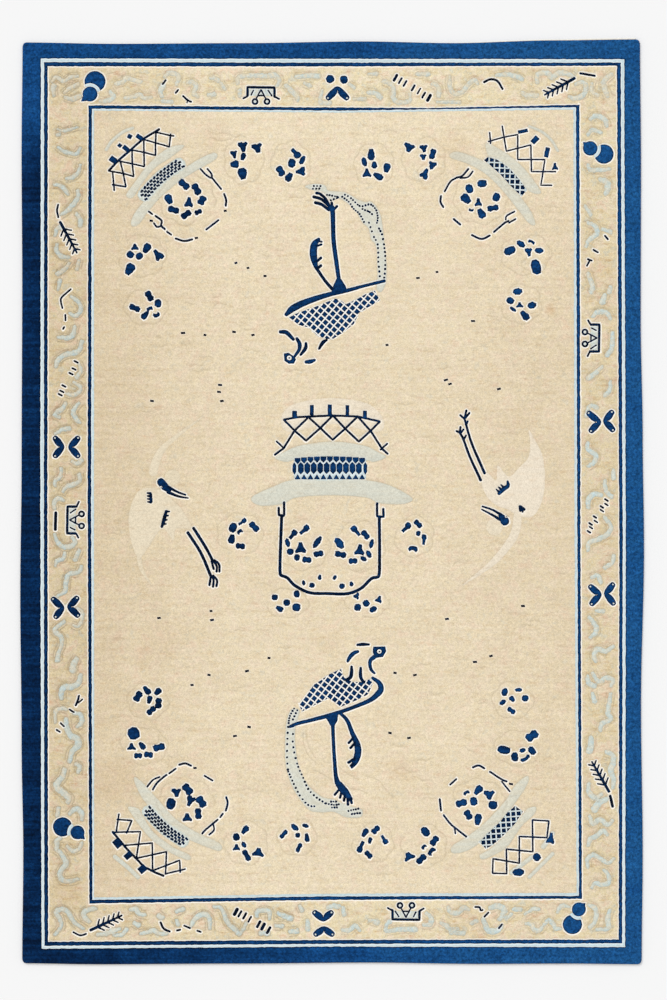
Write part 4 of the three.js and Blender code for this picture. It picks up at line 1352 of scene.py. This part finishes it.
ROW_OFFSET = 1.3  # squares, from a groove to the level pile beside it
FILL_EVERY = 5  # squares between points of the plain pile
FILL_SHAKE = 1.6
FILL_ACROSS = (22, 644)  # squares that the plain pile spans
FILL_DOWN = (42, 965)
RIM_CLEAR = 0.4  # squares between points of the rim, of the rows beside outlines, and of the fill
BESIDE_CLEAR = 0.5
FILL_CLEAR = 1.5


def loose_points(edge_points):
    """Points beside every outline, and an uneven grid over the plain pile."""
    beside = []
    for shape in cartoon:
        along = np.roll(shape.outline, -1, axis=0) - np.roll(shape.outline, 1, axis=0)
        along /= np.maximum(np.linalg.norm(along, axis=1, keepdims=True), 1e-6)
        side = np.stack([-along[:, 1], along[:, 0]], axis=-1) * ROW_OFFSET
        beside += [shape.outline + side, shape.outline - side]
    for line in clipped_lines:
        side = directions(line)[1] * ROW_OFFSET
        beside += [line + side, line - side]
    rims = [to_squares(ring(inset)) for inset, _ in RIM[:PILE_RIM]]
    across, down = np.meshgrid(np.arange(*FILL_ACROSS, FILL_EVERY), np.arange(*FILL_DOWN, FILL_EVERY))
    grid = np.stack([across.ravel(), down.ravel()], axis=-1).astype(float)
    grid += rng.uniform(-FILL_SHAKE, FILL_SHAKE, grid.shape)
    kept = []
    tree = KDTree(len(edge_points))
    for i, p in enumerate(edge_points):
        tree.insert((*p, 0), i)
    tree.balance()
    groups = [(np.vstack(rims), RIM_CLEAR), (np.vstack(beside), BESIDE_CLEAR), (grid, FILL_CLEAR)]
    for points, clear in groups:
        inner = inset_of(to_mm(points)) > RIM[PILE_RIM][0] + 0.8
        cell = {}
        for p in points[inner]:
            if tree.find((*p, 0))[2] > clear:
                cell.setdefault((round(p[0] / clear), round(p[1] / clear)), p)
        kept += cell.values()
    return np.array(kept)


def knot_mesh(with_loose):
    """Triangles of the cartoon. Gives their points, the triangles, the top shape of each, and how
    deep a clipped line cuts at each point."""
    edge_points = np.vstack([s.outline for s in cartoon] + clipped_lines)
    faces, edges, start = [], [], 0
    for shape in cartoon:
        faces.append(list(range(start, start + len(shape.outline))))
        start += len(shape.outline)
    depths = []
    for line, depth in zip(clipped_lines, clipped_depths):
        edges += [(i, i + 1) for i in range(start, start + len(line) - 1)]
        depths += [depth] * (len(line) - 1)
        start += len(line)
    points = np.vstack([edge_points, loose_points(edge_points)]) if with_loose else edge_points
    cut = delaunay_2d_cdt([Vector(p) for p in points], edges, faces, 0, 1e-4)
    found, out_edges, triangles, _, from_edges, from_faces = cut
    top = np.array([max(f) if f else -1 for f in from_faces])
    triangles = np.array(triangles)[top >= 0]
    top = top[top >= 0]
    own = np.zeros(len(found))
    for edge, source in zip(out_edges, from_edges):
        if source and min(source) < len(edges):
            for end in edge:
                own[end] = max(own[end], depths[min(source)])
    return np.array([tuple(p) for p in found]), triangles, top, own


points, triangles, top, clipped = knot_mesh(True)
dye_of = np.array([s.dye for s in cartoon])
lot_of = np.array([s.lot for s in cartoon])
groove_of = np.array([s.groove for s in cartoon])
mm = to_mm(points)

highest = np.full(len(points), -1)
low_dye = np.full(len(points), WHITE + 1)
high_dye = np.full(len(points), -1)
for corner in range(3):
    np.maximum.at(highest, triangles[:, corner], top)
    np.minimum.at(low_dye, triangles[:, corner], dye_of[top])
    np.maximum.at(high_dye, triangles[:, corner], dye_of[top])
between = high_dye != low_dye
groove = np.where(between, groove_of[highest], 0)
groove = np.maximum(groove, clipped)
# where indigo meets another colour: painted highlight on the lighter wool, painted shade on the indigo; in
# other grooves, painted shade and dust
meets_indigo = between & (low_dye == INDIGO)
beside_indigo = groove / GROOVE * meets_indigo
in_groove = groove / GROOVE * ~meets_indigo


def pile_height(mm):
    """Height of the pile, in millimetres: the rounded rim, and the tread of feet over the rest."""
    inset = inset_of(mm)
    at, height = np.array(RIM[: PILE_RIM + 1][::-1]).T
    x, y = mm.T
    sway = sum(np.sin(2 * math.pi * (x / across + y / along) + turn) for along, across, turn in TREAD_WAVES)
    return np.interp(inset, at, height) + TREAD * eased(0, 150, inset) * sway / len(TREAD_WAVES)


uneven = rng.uniform(-TUFT_UNEVEN, TUFT_UNEVEN, len(points)) * eased(3, 12, inset_of(mm))
height = pile_height(mm) - groove + uneven


def indigo_lot(mm):
    """How bright the indigo is at a place, from 0 for the darkest lot to 1: dark down the left
    side, lighter to the right and across the far end, in steps where the weaver took up new yarn."""
    u = mm[:, 0] / (WIDTH / 2)
    v = mm[:, 1] / (LENGTH / 2)
    lot = 0.22 + 0.62 * eased(-0.95, 0.75, u)
    lot = np.maximum(lot, 0.6 * eased(0.6, 0.88, v))
    lot += 0.12 * eased(0.45, 0.5, v) * (1 - eased(0.5, 0.56, v)) * (u > 0.8)
    return lot


def ivory_lot(mm):
    """How light the undyed wool is at a place: warmer and lighter at both ends, greyer at the sides."""
    u = mm[:, 0] / (WIDTH / 2)
    v = mm[:, 1] / (LENGTH / 2)
    lot = 0.78 + 0.22 * v**2 - 0.34 * eased(0.25, 0.85, -u) - 0.16 * eased(0.25, 0.85, u)
    return lot - 0.08 * eased(0.4, 0.8, -v)


def stained(mm):
    """How far the wool is stained at a place."""
    share = np.zeros(len(mm))
    for across, down, radius, strength in STAINS:
        far = np.linalg.norm(mm - to_mm([(across, down)]), axis=1) / (radius * SQUARE)
        share = np.maximum(share, strength * (1 - eased(0.4, 1.3, far)))
    return share


def colour(hex_code):
    """Linear colour from an sRGB hex code."""
    parts = [int(hex_code[i : i + 2], 16) / 255 for i in (1, 3, 5)]
    return [c / 12.92 if c <= 0.04045 else ((c + 0.055) / 1.055) ** 2.4 for c in parts] + [1]


def add(tree, kind, links=None, **settings):
    """Adds a node. links: input name or number to a socket or a value."""
    node = tree.nodes.new(kind)
    for name, value in settings.items():
        setattr(node, name, value)
    for name, value in (links or {}).items():
        if isinstance(value, bpy.types.NodeSocket):
            tree.links.new(value, node.inputs[name])
        else:
            node.inputs[name].default_value = value
    return node


SOIL = "#D8B48A"  # years of dust and tea
EDGE_HIGHLIGHT = "#FFFCF4"  # painted highlight along the edges of the lighter wools beside indigo
# painted highlight on the pale blue beside indigo
COOL_EDGE_HIGHLIGHT = "#EDF3F4"
INDIGO_EDGE_SHADE = "#020A1C"  # painted shade, almost black, along the edges of indigo shapes
GROOVE_SHADE = "#9E8D70"  # painted shade and dust at the bottom of a groove
BORDER_TINT = 1.6  # how much more the border's wool drifts in tone
ROSE = "#FCF2F0"
EVEN = "#FBFFFF"
STRAW = "#F9F9E9"
MIST = "#ECF8FF"

# Pattern of the wool, in millimetres
STREAK = (384.615, 11.1111)  # lots of yarn along the weft: length, height
CLOUD = 111.111  # broad drift of the lots
WEAR = (41.6667, 14.2857)  # trodden patches: length, height
DRIFT = 29.4118  # rosy and straw tones
KNOTS = 8  # groups of knots
GRAIN = 3.0303  # single tufts
TUFT = 3.1


def per_metre(*sizes):
    """Scales of a texture whose pattern has these sizes in millimetres."""
    return [1 / (size * MM) for size in sizes]


def set_stops(ramp, stops):
    """Colours of a ramp. stops: place from 0 to 1 and hex code."""
    for k, (at, code) in enumerate(stops):
        stop = ramp.color_ramp.elements[k] if k < 2 else ramp.color_ramp.elements.new(at)
        stop.position = at
        stop.color = colour(code)


def wool(
    name,
    stops,
    streak,
    tuft_depth,
    sheen=0.12,
    mottle=0.0,
    rim=0.0,
    rim_code=EDGE_HIGHLIGHT,
    shade=0.0,
    speckle=0.17,
    blotch=0.07,
    tint=0.0,
):
    """Knotted wool pile, cut short: matt, with a faint bloom at a low angle, rows of tufts and
    streaks along the weft. stops: share of the lot and hex code. rim: how far the wool changes to
    rim_code along the grooves where indigo meets another colour: a painted highlight on the lighter
    wool, painted shade on the indigo. shade: how far painted shade and dust darken the other grooves.
    mottle: patches of soiling. speckle and blotch: how uneven single knots and patches are.
    tint: drift between a rosy and a straw tone."""
    material = bpy.data.materials.new(name)
    material.use_nodes = True
    tree = material.node_tree
    surface = tree.nodes["Principled BSDF"]
    place = add(tree, "ShaderNodeTexCoord").outputs["Object"]
    lot, near, groove, stain, border = (
        add(tree, "ShaderNodeAttribute", attribute_name=label).outputs["Fac"]
        for label in ("lot", "beside_indigo", "in_groove", "stain", "border")
    )
    weft = add(tree, "ShaderNodeMapping", {"Vector": place, "Scale": (*per_metre(*STREAK), 1)})
    patchy = add(tree, "ShaderNodeMapping", {"Vector": place, "Scale": (*per_metre(*WEAR), 1)})
    # Columns: name, where the noise is looked up, scale, detail, roughness
    patterns = [
        ("streaks", weft.outputs[0], 1, 4, 0.6),
        ("cloud", place, *per_metre(CLOUD), 6, 0.7),
        ("wear", patchy.outputs[0], 1, 4, 0.75),
        ("grain", place, *per_metre(GRAIN), 3, 0.7),
        ("knots", place, *per_metre(KNOTS), 2, 0.6),
        ("drift", place, *per_metre(DRIFT), 4, 0.7),
    ]
    noise = {}
    for label, at, scale, detail, roughness in patterns:
        links = {"Vector": at, "Scale": scale, "Detail": detail, "Roughness": roughness}
        noise[label] = add(tree, "ShaderNodeTexNoise", links).outputs["Fac"]

    # lot of the yarn, with its streaks, then the brightness of single tufts and knots
    sway = add(tree, "ShaderNodeMath", {0: noise["streaks"], 1: noise["cloud"]}, operation="ADD")
    swing = add(tree, "ShaderNodeMath", {0: sway.outputs[0], 1: 1.0}, operation="SUBTRACT")
    share = add(tree, "ShaderNodeMath", {0: swing.outputs[0], 1: streak, 2: lot}, operation="MULTIPLY_ADD")
    dyed = add(tree, "ShaderNodeValToRGB", {0: share.outputs[0]})
    set_stops(dyed, stops)
    range_of = {"From Min": 0.3, "From Max": 0.7}
    tufted = {"Value": noise["grain"], "To Min": 1 - speckle, "To Max": 1 + speckle}
    bright = add(tree, "ShaderNodeMapRange", {**range_of, **tufted})
    blotched = {"Value": noise["knots"], "To Min": 1 - blotch, "To Max": 1 + blotch}
    knotted = add(tree, "ShaderNodeMapRange", {**range_of, **blotched})
    both = add(tree, "ShaderNodeMath", {0: bright.outputs[0], 1: knotted.outputs[0]}, operation="MULTIPLY")
    links = {"Fac": 1, "Color1": dyed.outputs[0], "Color2": both.outputs[0]}
    uneven = add(tree, "ShaderNodeMixRGB", links, blend_type="MULTIPLY")

    # drift of tone, stronger in the border
    tones = add(tree, "ShaderNodeValToRGB", {0: noise["drift"]})
    set_stops(tones, [(0.34, ROSE), (0.46, EVEN), (0.56, STRAW), (0.68, MIST)])
    links = {0: border, 1: tint * BORDER_TINT, 2: tint}
    tinting = add(tree, "ShaderNodeMath", links, operation="MULTIPLY_ADD", use_clamp=True)
    links = {"Fac": tinting.outputs[0], "Color1": uneven.outputs[0], "Color2": tones.outputs[0]}
    toned = add(tree, "ShaderNodeMixRGB", links, blend_type="MULTIPLY")

    # soil on the trodden patches, twice as much in the border, and the stains
    links = {"Value": noise["wear"], "From Min": 0.52, "From Max": 0.75, "To Min": 0.0, "To Max": mottle}
    soil = add(tree, "ShaderNodeMapRange", links).outputs[0]
    more_soil = add(tree, "ShaderNodeMath", {0: soil, 1: border, 2: soil}, operation="MULTIPLY_ADD")
    links = {0: more_soil.outputs[0], 1: stain}
    all_soil = add(tree, "ShaderNodeMath", links, operation="ADD", use_clamp=True)
    links = {"Fac": all_soil.outputs[0], "Color1": toned.outputs[0], "Color2": colour(SOIL)}
    soiled = add(tree, "ShaderNodeMixRGB", links, blend_type="MULTIPLY")

    # painted shade and dust in the grooves; painted highlight or painted shade where indigo meets another
    # colour
    groove_shade_and_dust = add(tree, "ShaderNodeMath", {0: groove, 1: shade}, operation="MULTIPLY")
    links = {"Fac": groove_shade_and_dust.outputs[0], "Color1": soiled.outputs[0], "Color2": colour(GROOVE_SHADE)}
    shaded_and_dusty = add(tree, "ShaderNodeMixRGB", links)
    links = {"Value": near, "From Min": 0.0, "From Max": 0.3, "To Min": 0.0, "To Max": rim}
    edge = add(tree, "ShaderNodeMapRange", links)
    links = {"Fac": edge.outputs[0], "Color1": shaded_and_dusty.outputs[0], "Color2": colour(rim_code)}
    painted_edge = add(tree, "ShaderNodeMixRGB", links)
    tree.links.new(painted_edge.outputs[0], surface.inputs["Base Color"])

    # cut ends of the tufts, as a fine bump
    tufts = add(tree, "ShaderNodeTexVoronoi", {"Vector": place, "Scale": per_metre(TUFT)[0]}, feature="F1")
    rough = add(tree, "ShaderNodeMath", {0: tufts.outputs["Distance"], 1: noise["grain"]}, operation="ADD")
    links = {"Height": rough.outputs[0], "Strength": 0.6, "Distance": tuft_depth * MM}
    bump = add(tree, "ShaderNodeBump", links)
    tree.links.new(bump.outputs[0], surface.inputs["Normal"])
    surface.inputs["Roughness"].default_value = 0.95
    surface.inputs["Specular IOR Level"].default_value = sheen
    surface.inputs["Sheen Weight"].default_value = sheen
    surface.inputs["Sheen Roughness"].default_value = 0.6
    return material


# deep blue, uneven from knot to knot, with painted shade, almost black, along its edges beside other
# colours
indigo_wool = wool(
    "indigo-dyed wool",
    [(0, "#030B1C"), (0.25, "#05254B"), (0.6, "#12447A"), (1, "#1F568A")],
    streak=0.6,
    tuft_depth=0.5,
    sheen=0.02,
    rim=0.62,
    rim_code=INDIGO_EDGE_SHADE,
    speckle=0.42,
    blotch=0.42,
)
# warm cream with rosy and straw drifts, soil, painted shade and dust in the grooves, and a painted
# highlight beside indigo
ivory_wool = wool(
    "undyed ivory wool",
    [(0, "#C2AC89"), (0.5, "#DDCAAD"), (1, "#EEDEC3")],
    streak=0.5,
    tuft_depth=0.5,
    mottle=0.36,
    rim=0.85,
    shade=0.55,
    speckle=0.2,
    blotch=0.08,
    tint=0.5,
)
# blue faded to a dusty grey-green, with a painted highlight beside indigo and painted shade and dust in the
# grooves
pale_wool = wool(
    "pale blue wool",
    [(0, "#C4DAE2"), (0.4, "#C9D4CD"), (0.8, "#D6D5C6"), (1, "#DCD4BC")],
    streak=0.35,
    tuft_depth=0.4,
    mottle=0.25,
    rim=0.65,
    rim_code=COOL_EDGE_HIGHLIGHT,
    shade=0.4,
)
# the lightest wool, a shade over the ivory, with a painted highlight beside indigo and painted shade and
# dust in the grooves
white_wool = wool(
    "bleached ivory wool",
    [(0, "#DFD1B4"), (0.3, "#E5D8BF"), (0.6, "#ECE0CD"), (1, "#F3F1EA")],
    streak=0.25,
    tuft_depth=0.4,
    mottle=0.25,
    rim=0.5,
    shade=0.5,
)


BAKE_SPARE = 40  # millimetres of the baked plan that stay empty round the rug


def rug_piece(name, material, points, faces, attributes):
    """Mesh object that rides on the rug's body. attributes: values for each point or face."""
    mesh = bpy.data.meshes.new(name)
    mesh.from_pydata((points * MM).tolist(), [], faces.tolist())
    for label, values in attributes.items():
        layer = mesh.attributes.new(label, "FLOAT", "POINT" if len(values) == len(points) else "FACE")
        layer.data.foreach_set("value", np.asarray(values, np.float32))
    plan = mesh.uv_layers.new(name="OFBake")
    corner = np.empty(len(mesh.loops), np.int64)
    mesh.loops.foreach_get("vertex_index", corner)
    uv = points[corner, :2] / (WIDTH + BAKE_SPARE, LENGTH + BAKE_SPARE) + 0.5
    plan.data.foreach_set("uv", uv.astype(np.float32).ravel())
    mesh.polygons.foreach_set("use_smooth", np.ones(len(mesh.polygons), bool))
    mesh.update()
    mesh.validate()
    mesh.materials.append(material)
    piece = bpy.data.objects.new(name, mesh)
    bpy.context.scene.collection.objects.link(piece)
    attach(piece, "root")
    return piece


BAND_LOT = 0.85  # the outer band and nothing else lies above it
SCROLLS_FROM = 0.3  # lots between which the scrolls lie
SCROLLS_TO = 0.84
UNEVEN_DYE = (-0.3, 0.45)  # knot by knot, in the yarn of the scrolls


def pile_side(first):
    """Points and faces of the pile's side, all the way round. first: number of its first point."""
    rows = [(ring(inset) - MIDDLE, height) for inset, height in RIM[PILE_RIM:]]
    count = len(rows[0][0])
    faces = []
    for k in range(len(rows) - 1):
        for i in range(count):
            a, b = first + k * count + i, first + k * count + (i + 1) % count
            faces += [(a, b + count, b), (a, a + count, b + count)]
    return np.vstack([np.column_stack([row, np.full(count, height)]) for row, height in rows]), faces


def pile_piece(name, dye, material):
    """The part of the pile that is knotted in one dye."""
    mine = triangles[dye_of[top] == dye]
    tops = top[dye_of[top] == dye]
    used, local = np.unique(mine, return_inverse=True)
    local = local.reshape(-1, 3)
    lot = np.zeros(len(used))
    for corner in range(3):
        lot[local[:, corner]] = lot_of[tops]
    at = mm[used]
    if dye == INDIGO:
        bright = indigo_lot(at)
        lot = np.where(lot > BAND_LOT, bright, lot * (0.45 + 0.74 * bright))
    border = lot < 0.5
    if dye == IVORY:
        lot = ivory_lot(at)
    if dye == PALE:
        scrolls = (lot > SCROLLS_FROM) & (lot < SCROLLS_TO) & (inset_of(at) < BORDER_IN)
        lot = lot + scrolls * rng.uniform(*UNEVEN_DYE, len(lot))
    body = np.column_stack([at, height[used]])
    facts = {"lot": lot, "beside_indigo": beside_indigo[used], "in_groove": in_groove[used]}
    if dye != INDIGO:
        facts["stain"] = stained(at)
        if dye == PALE:
            facts["stain"] += scrolls * (0.02 + 0.14 * (at[:, 0] < -WIDTH * 0.36))  # worst at the left
        facts["border"] = border * (dye == IVORY)
    flipped = local[:, ::-1]  # the cartoon runs down, the rug up
    if dye != INDIGO:
        return rug_piece(name, material, body, flipped, facts)
    side_points, side_faces = pile_side(len(body))
    side_lot = indigo_lot(side_points[:, :2])
    facts = {
        "lot": np.concatenate([lot, side_lot]),
        "beside_indigo": np.concatenate([facts["beside_indigo"], side_lot * 0]),
    }
    everything = np.vstack([body, side_points])
    return rug_piece(name, material, everything, np.vstack([flipped, side_faces]), facts)


pieces = [
    pile_piece("pile_indigo", INDIGO, indigo_wool),
    pile_piece("pile_ivory", IVORY, ivory_wool),
    pile_piece("pile_pale_blue", PALE, pale_wool),
    pile_piece("pile_white", WHITE, white_wool),
]

# Selvedges: a cord down each side, wrapped in the indigo of the band

CORD_RADIUS = 3
CORD_SWELL = 0.22  # more over a turn of the wrapping, less between two
CORD_INSET = 2.2  # from the rug's edge to the cord's middle
CORD_LIFT = 0.3  # between the back and the cord
WRAP_PITCH = 4.4
CORD_SIDES = 8


def joined(parts):
    """Points and faces of several parts, as those of one mesh."""
    points, faces = [], []
    for some_points, some_faces in parts:
        first = len(points)
        points += some_points
        faces += [tuple(first + i for i in face) for face in some_faces]
    return np.array(points), np.array(faces)


def cord(side):
    """Points and faces of the wrapped cord along the left (-1) or right (+1) edge."""
    count = round((LENGTH - 2 * CORNER_RADIUS) / (WRAP_PITCH / 2))
    y = np.linspace(-LENGTH / 2 + CORNER_RADIUS, LENGTH / 2 - CORNER_RADIUS, count)
    x = np.full(count, side * (WIDTH / 2 - CORD_INSET))
    spine = laid(x, y) - MIDDLE
    points, faces = [], []
    middle = BACK_HEIGHT + CORD_RADIUS + CORD_LIFT
    for k in range(count):
        reach = CORD_RADIUS + (CORD_SWELL if k % 2 else -CORD_SWELL)
        for turn in range(CORD_SIDES):
            a = 2 * math.pi * turn / CORD_SIDES
            points.append((spine[k, 0] + reach * math.cos(a), spine[k, 1], middle + reach * math.sin(a)))
    for k in range(count - 1):
        for turn in range(CORD_SIDES):
            a, b = k * CORD_SIDES + turn, k * CORD_SIDES + (turn + 1) % CORD_SIDES
            faces += [(a, b, b + CORD_SIDES), (a, b + CORD_SIDES, a + CORD_SIDES)]
    for last in (0, (count - 1) * CORD_SIDES):
        for i in range(last + 1, last + CORD_SIDES - 1):
            faces.append((last, i, i + 1) if last else (last, i + 1, i))
    return points, faces


cord_points, cord_faces = joined([cord(-1), cord(1)])
cord_facts = {"lot": indigo_lot(cord_points[:, :2]) * 0.9}
pieces.append(rug_piece("selvedge_cords", indigo_wool, cord_points, cord_faces, cord_facts))

# End webs: the cotton warps and wefts that show as a thin line beyond the last row of knots.
# Columns: share of the way along, millimetres out beyond the pile
FAR_WEB = [(0, 0.6), (0.3, 1), (0.62, 0.6), (0.86, 2.4), (0.93, 3.4), (1, 3)]
NEAR_WEB = [(0, 0.8), (0.2, 1.2), (0.5, 0.7), (0.8, 1.1), (1, 0.8)]
WEB_IN = 3  # millimetres that the web runs in under the pile
WEB_TOP = 1.6
WEB_LOT = 0.7
WARPS = 460  # points along a web


def web(table, end):
    """Points and faces of the flat web along the far (+1) or near (-1) end."""
    count = WARPS
    share = np.linspace(0.006, 0.994, count)
    out = edge_out(table, share) + 0.25 * np.sin(np.arange(count) * 2.4)
    x = (share - 0.5) * WIDTH
    points = []
    for reach, height in ((-WEB_IN, WEB_TOP), (out, WEB_TOP), (out, BACK_HEIGHT), (-WEB_IN, BACK_HEIGHT)):
        row = laid(x, end * (LENGTH / 2 + reach) + 0 * x) - MIDDLE
        points += [(px, py, height) for px, py in row]
    faces = []
    for row in range(4):
        for i in range(count - 1):
            a, b = row * count + i, (row + 1) % 4 * count + i
            quad = (a, a + 1, b + 1, b) if end < 0 else (a, b, b + 1, a + 1)
            faces += [(quad[0], quad[1], quad[2]), (quad[0], quad[2], quad[3])]
    for i in (0, count - 1):
        cap = [i, count + i, 2 * count + i, 3 * count + i]
        if (i == 0) == (end > 0):
            cap = cap[::-1]
        faces += [(cap[0], cap[1], cap[2]), (cap[0], cap[2], cap[3])]
    return points, faces


# dry, light cotton without pile
cotton = wool("unbleached cotton warps", [(0, "#D6CBB4"), (1, "#ECE4D3")], streak=0.4, tuft_depth=0.3)
web_points, web_faces = joined([web(FAR_WEB, 1), web(NEAR_WEB, -1)])
web_facts = {"lot": np.full(len(web_points), WEB_LOT)}
pieces.append(rug_piece("end_webs", cotton, web_points, web_faces, web_facts))

# Underside: cotton foundation, with the backs of the knots showing the same pattern

BACK_LOTS = {INDIGO: 0, IVORY: 0.5, PALE: 0.75, WHITE: 1}
back_points, back_triangles, back_top, _ = knot_mesh(False)
back_lot = np.array([BACK_LOTS[dye] for dye in dye_of[back_top]])
back_mm = to_mm(back_points)
body = np.column_stack([back_mm, np.full(len(back_mm), BACK_HEIGHT)])
# the pattern again, flat and duller
back_cloth = wool(
    "backs of the knots in cotton",
    [
        (0, "#2A4C78"),
        (0.2, "#3A5A82"),
        (0.3, "#D3C2A2"),
        (0.6, "#DCCCAE"),
        (0.75, "#C0CCC8"),
        (1, "#E6DCC6"),
    ],
    streak=0.12,
    tuft_depth=0.25,
    mottle=0.2,
)
rug_back = rug_piece("rug_back", back_cloth, body, back_triangles, {"lot": back_lot})
for piece in (*pieces, rug_back):
    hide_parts("rug")

# Floor, light and camera

FLOOR_SIZE = 30  # metres
PAPER = "#F3F3F3"
SKY = "#FFFFFF"
SKY_STRENGTH = 0.7
SUN_STRENGTH = 1.5
SUN_SPREAD = 30  # degrees: soft shadows
SUN_TILT = (-35, -30)  # degrees: from the upper left

floor_mesh = bpy.data.meshes.new("floor")
floor_corners = [(*corner, 0) for corner in block(FLOOR_SIZE, FLOOR_SIZE)]
floor_mesh.from_pydata(floor_corners, [], [(0, 1, 2, 3)])
floor = bpy.data.objects.new("floor", floor_mesh)
bpy.context.scene.collection.objects.link(floor)
paper = bpy.data.materials.new("matt white paper")  # a bright, even ground without a reflection
paper.use_nodes = True
paper_surface = paper.node_tree.nodes["Principled BSDF"]
paper_surface.inputs["Base Color"].default_value = colour(PAPER)
paper_surface.inputs["Roughness"].default_value = 1
paper_surface.inputs["Specular IOR Level"].default_value = 0
floor_mesh.materials.append(paper)

world = bpy.data.worlds.new("studio")
world.use_nodes = True
world.node_tree.nodes["Background"].inputs["Color"].default_value = colour(SKY)
world.node_tree.nodes["Background"].inputs["Strength"].default_value = SKY_STRENGTH
bpy.context.scene.world = world

lamp = bpy.data.lights.new("soft window light", "SUN")
lamp.energy = SUN_STRENGTH
lamp.angle = math.radians(SUN_SPREAD)
lamp_holder = bpy.data.objects.new("soft window light", lamp)
lamp_holder.rotation_euler = (math.radians(SUN_TILT[0]), math.radians(SUN_TILT[1]), 0)
bpy.context.scene.collection.objects.link(lamp_holder)

CAMERA_HEIGHT = 7  # metres over the pile
FRAME_ROWS = 1000  # the photo's height, in squares of the cartoon
PHOTO_MIDDLE = (333.5, 500)  # squares across and down
SENSOR = 36  # millimetres
aim = to_mm([PHOTO_MIDDLE])[0] * MM
camera = bpy.data.cameras.new("overhead")
camera.sensor_fit = "VERTICAL"
camera.sensor_height = SENSOR
camera.lens = camera.sensor_height * CAMERA_HEIGHT / (FRAME_ROWS * SQUARE * MM)
camera.clip_end = 100
camera_holder = bpy.data.objects.new("overhead", camera)
camera_holder.location = (aim[0], aim[1], CAMERA_HEIGHT + PILE_TOP * MM)
bpy.context.scene.collection.objects.link(camera_holder)
bpy.context.scene.camera = camera_holder
bpy.context.scene.view_settings.view_transform = "Standard"
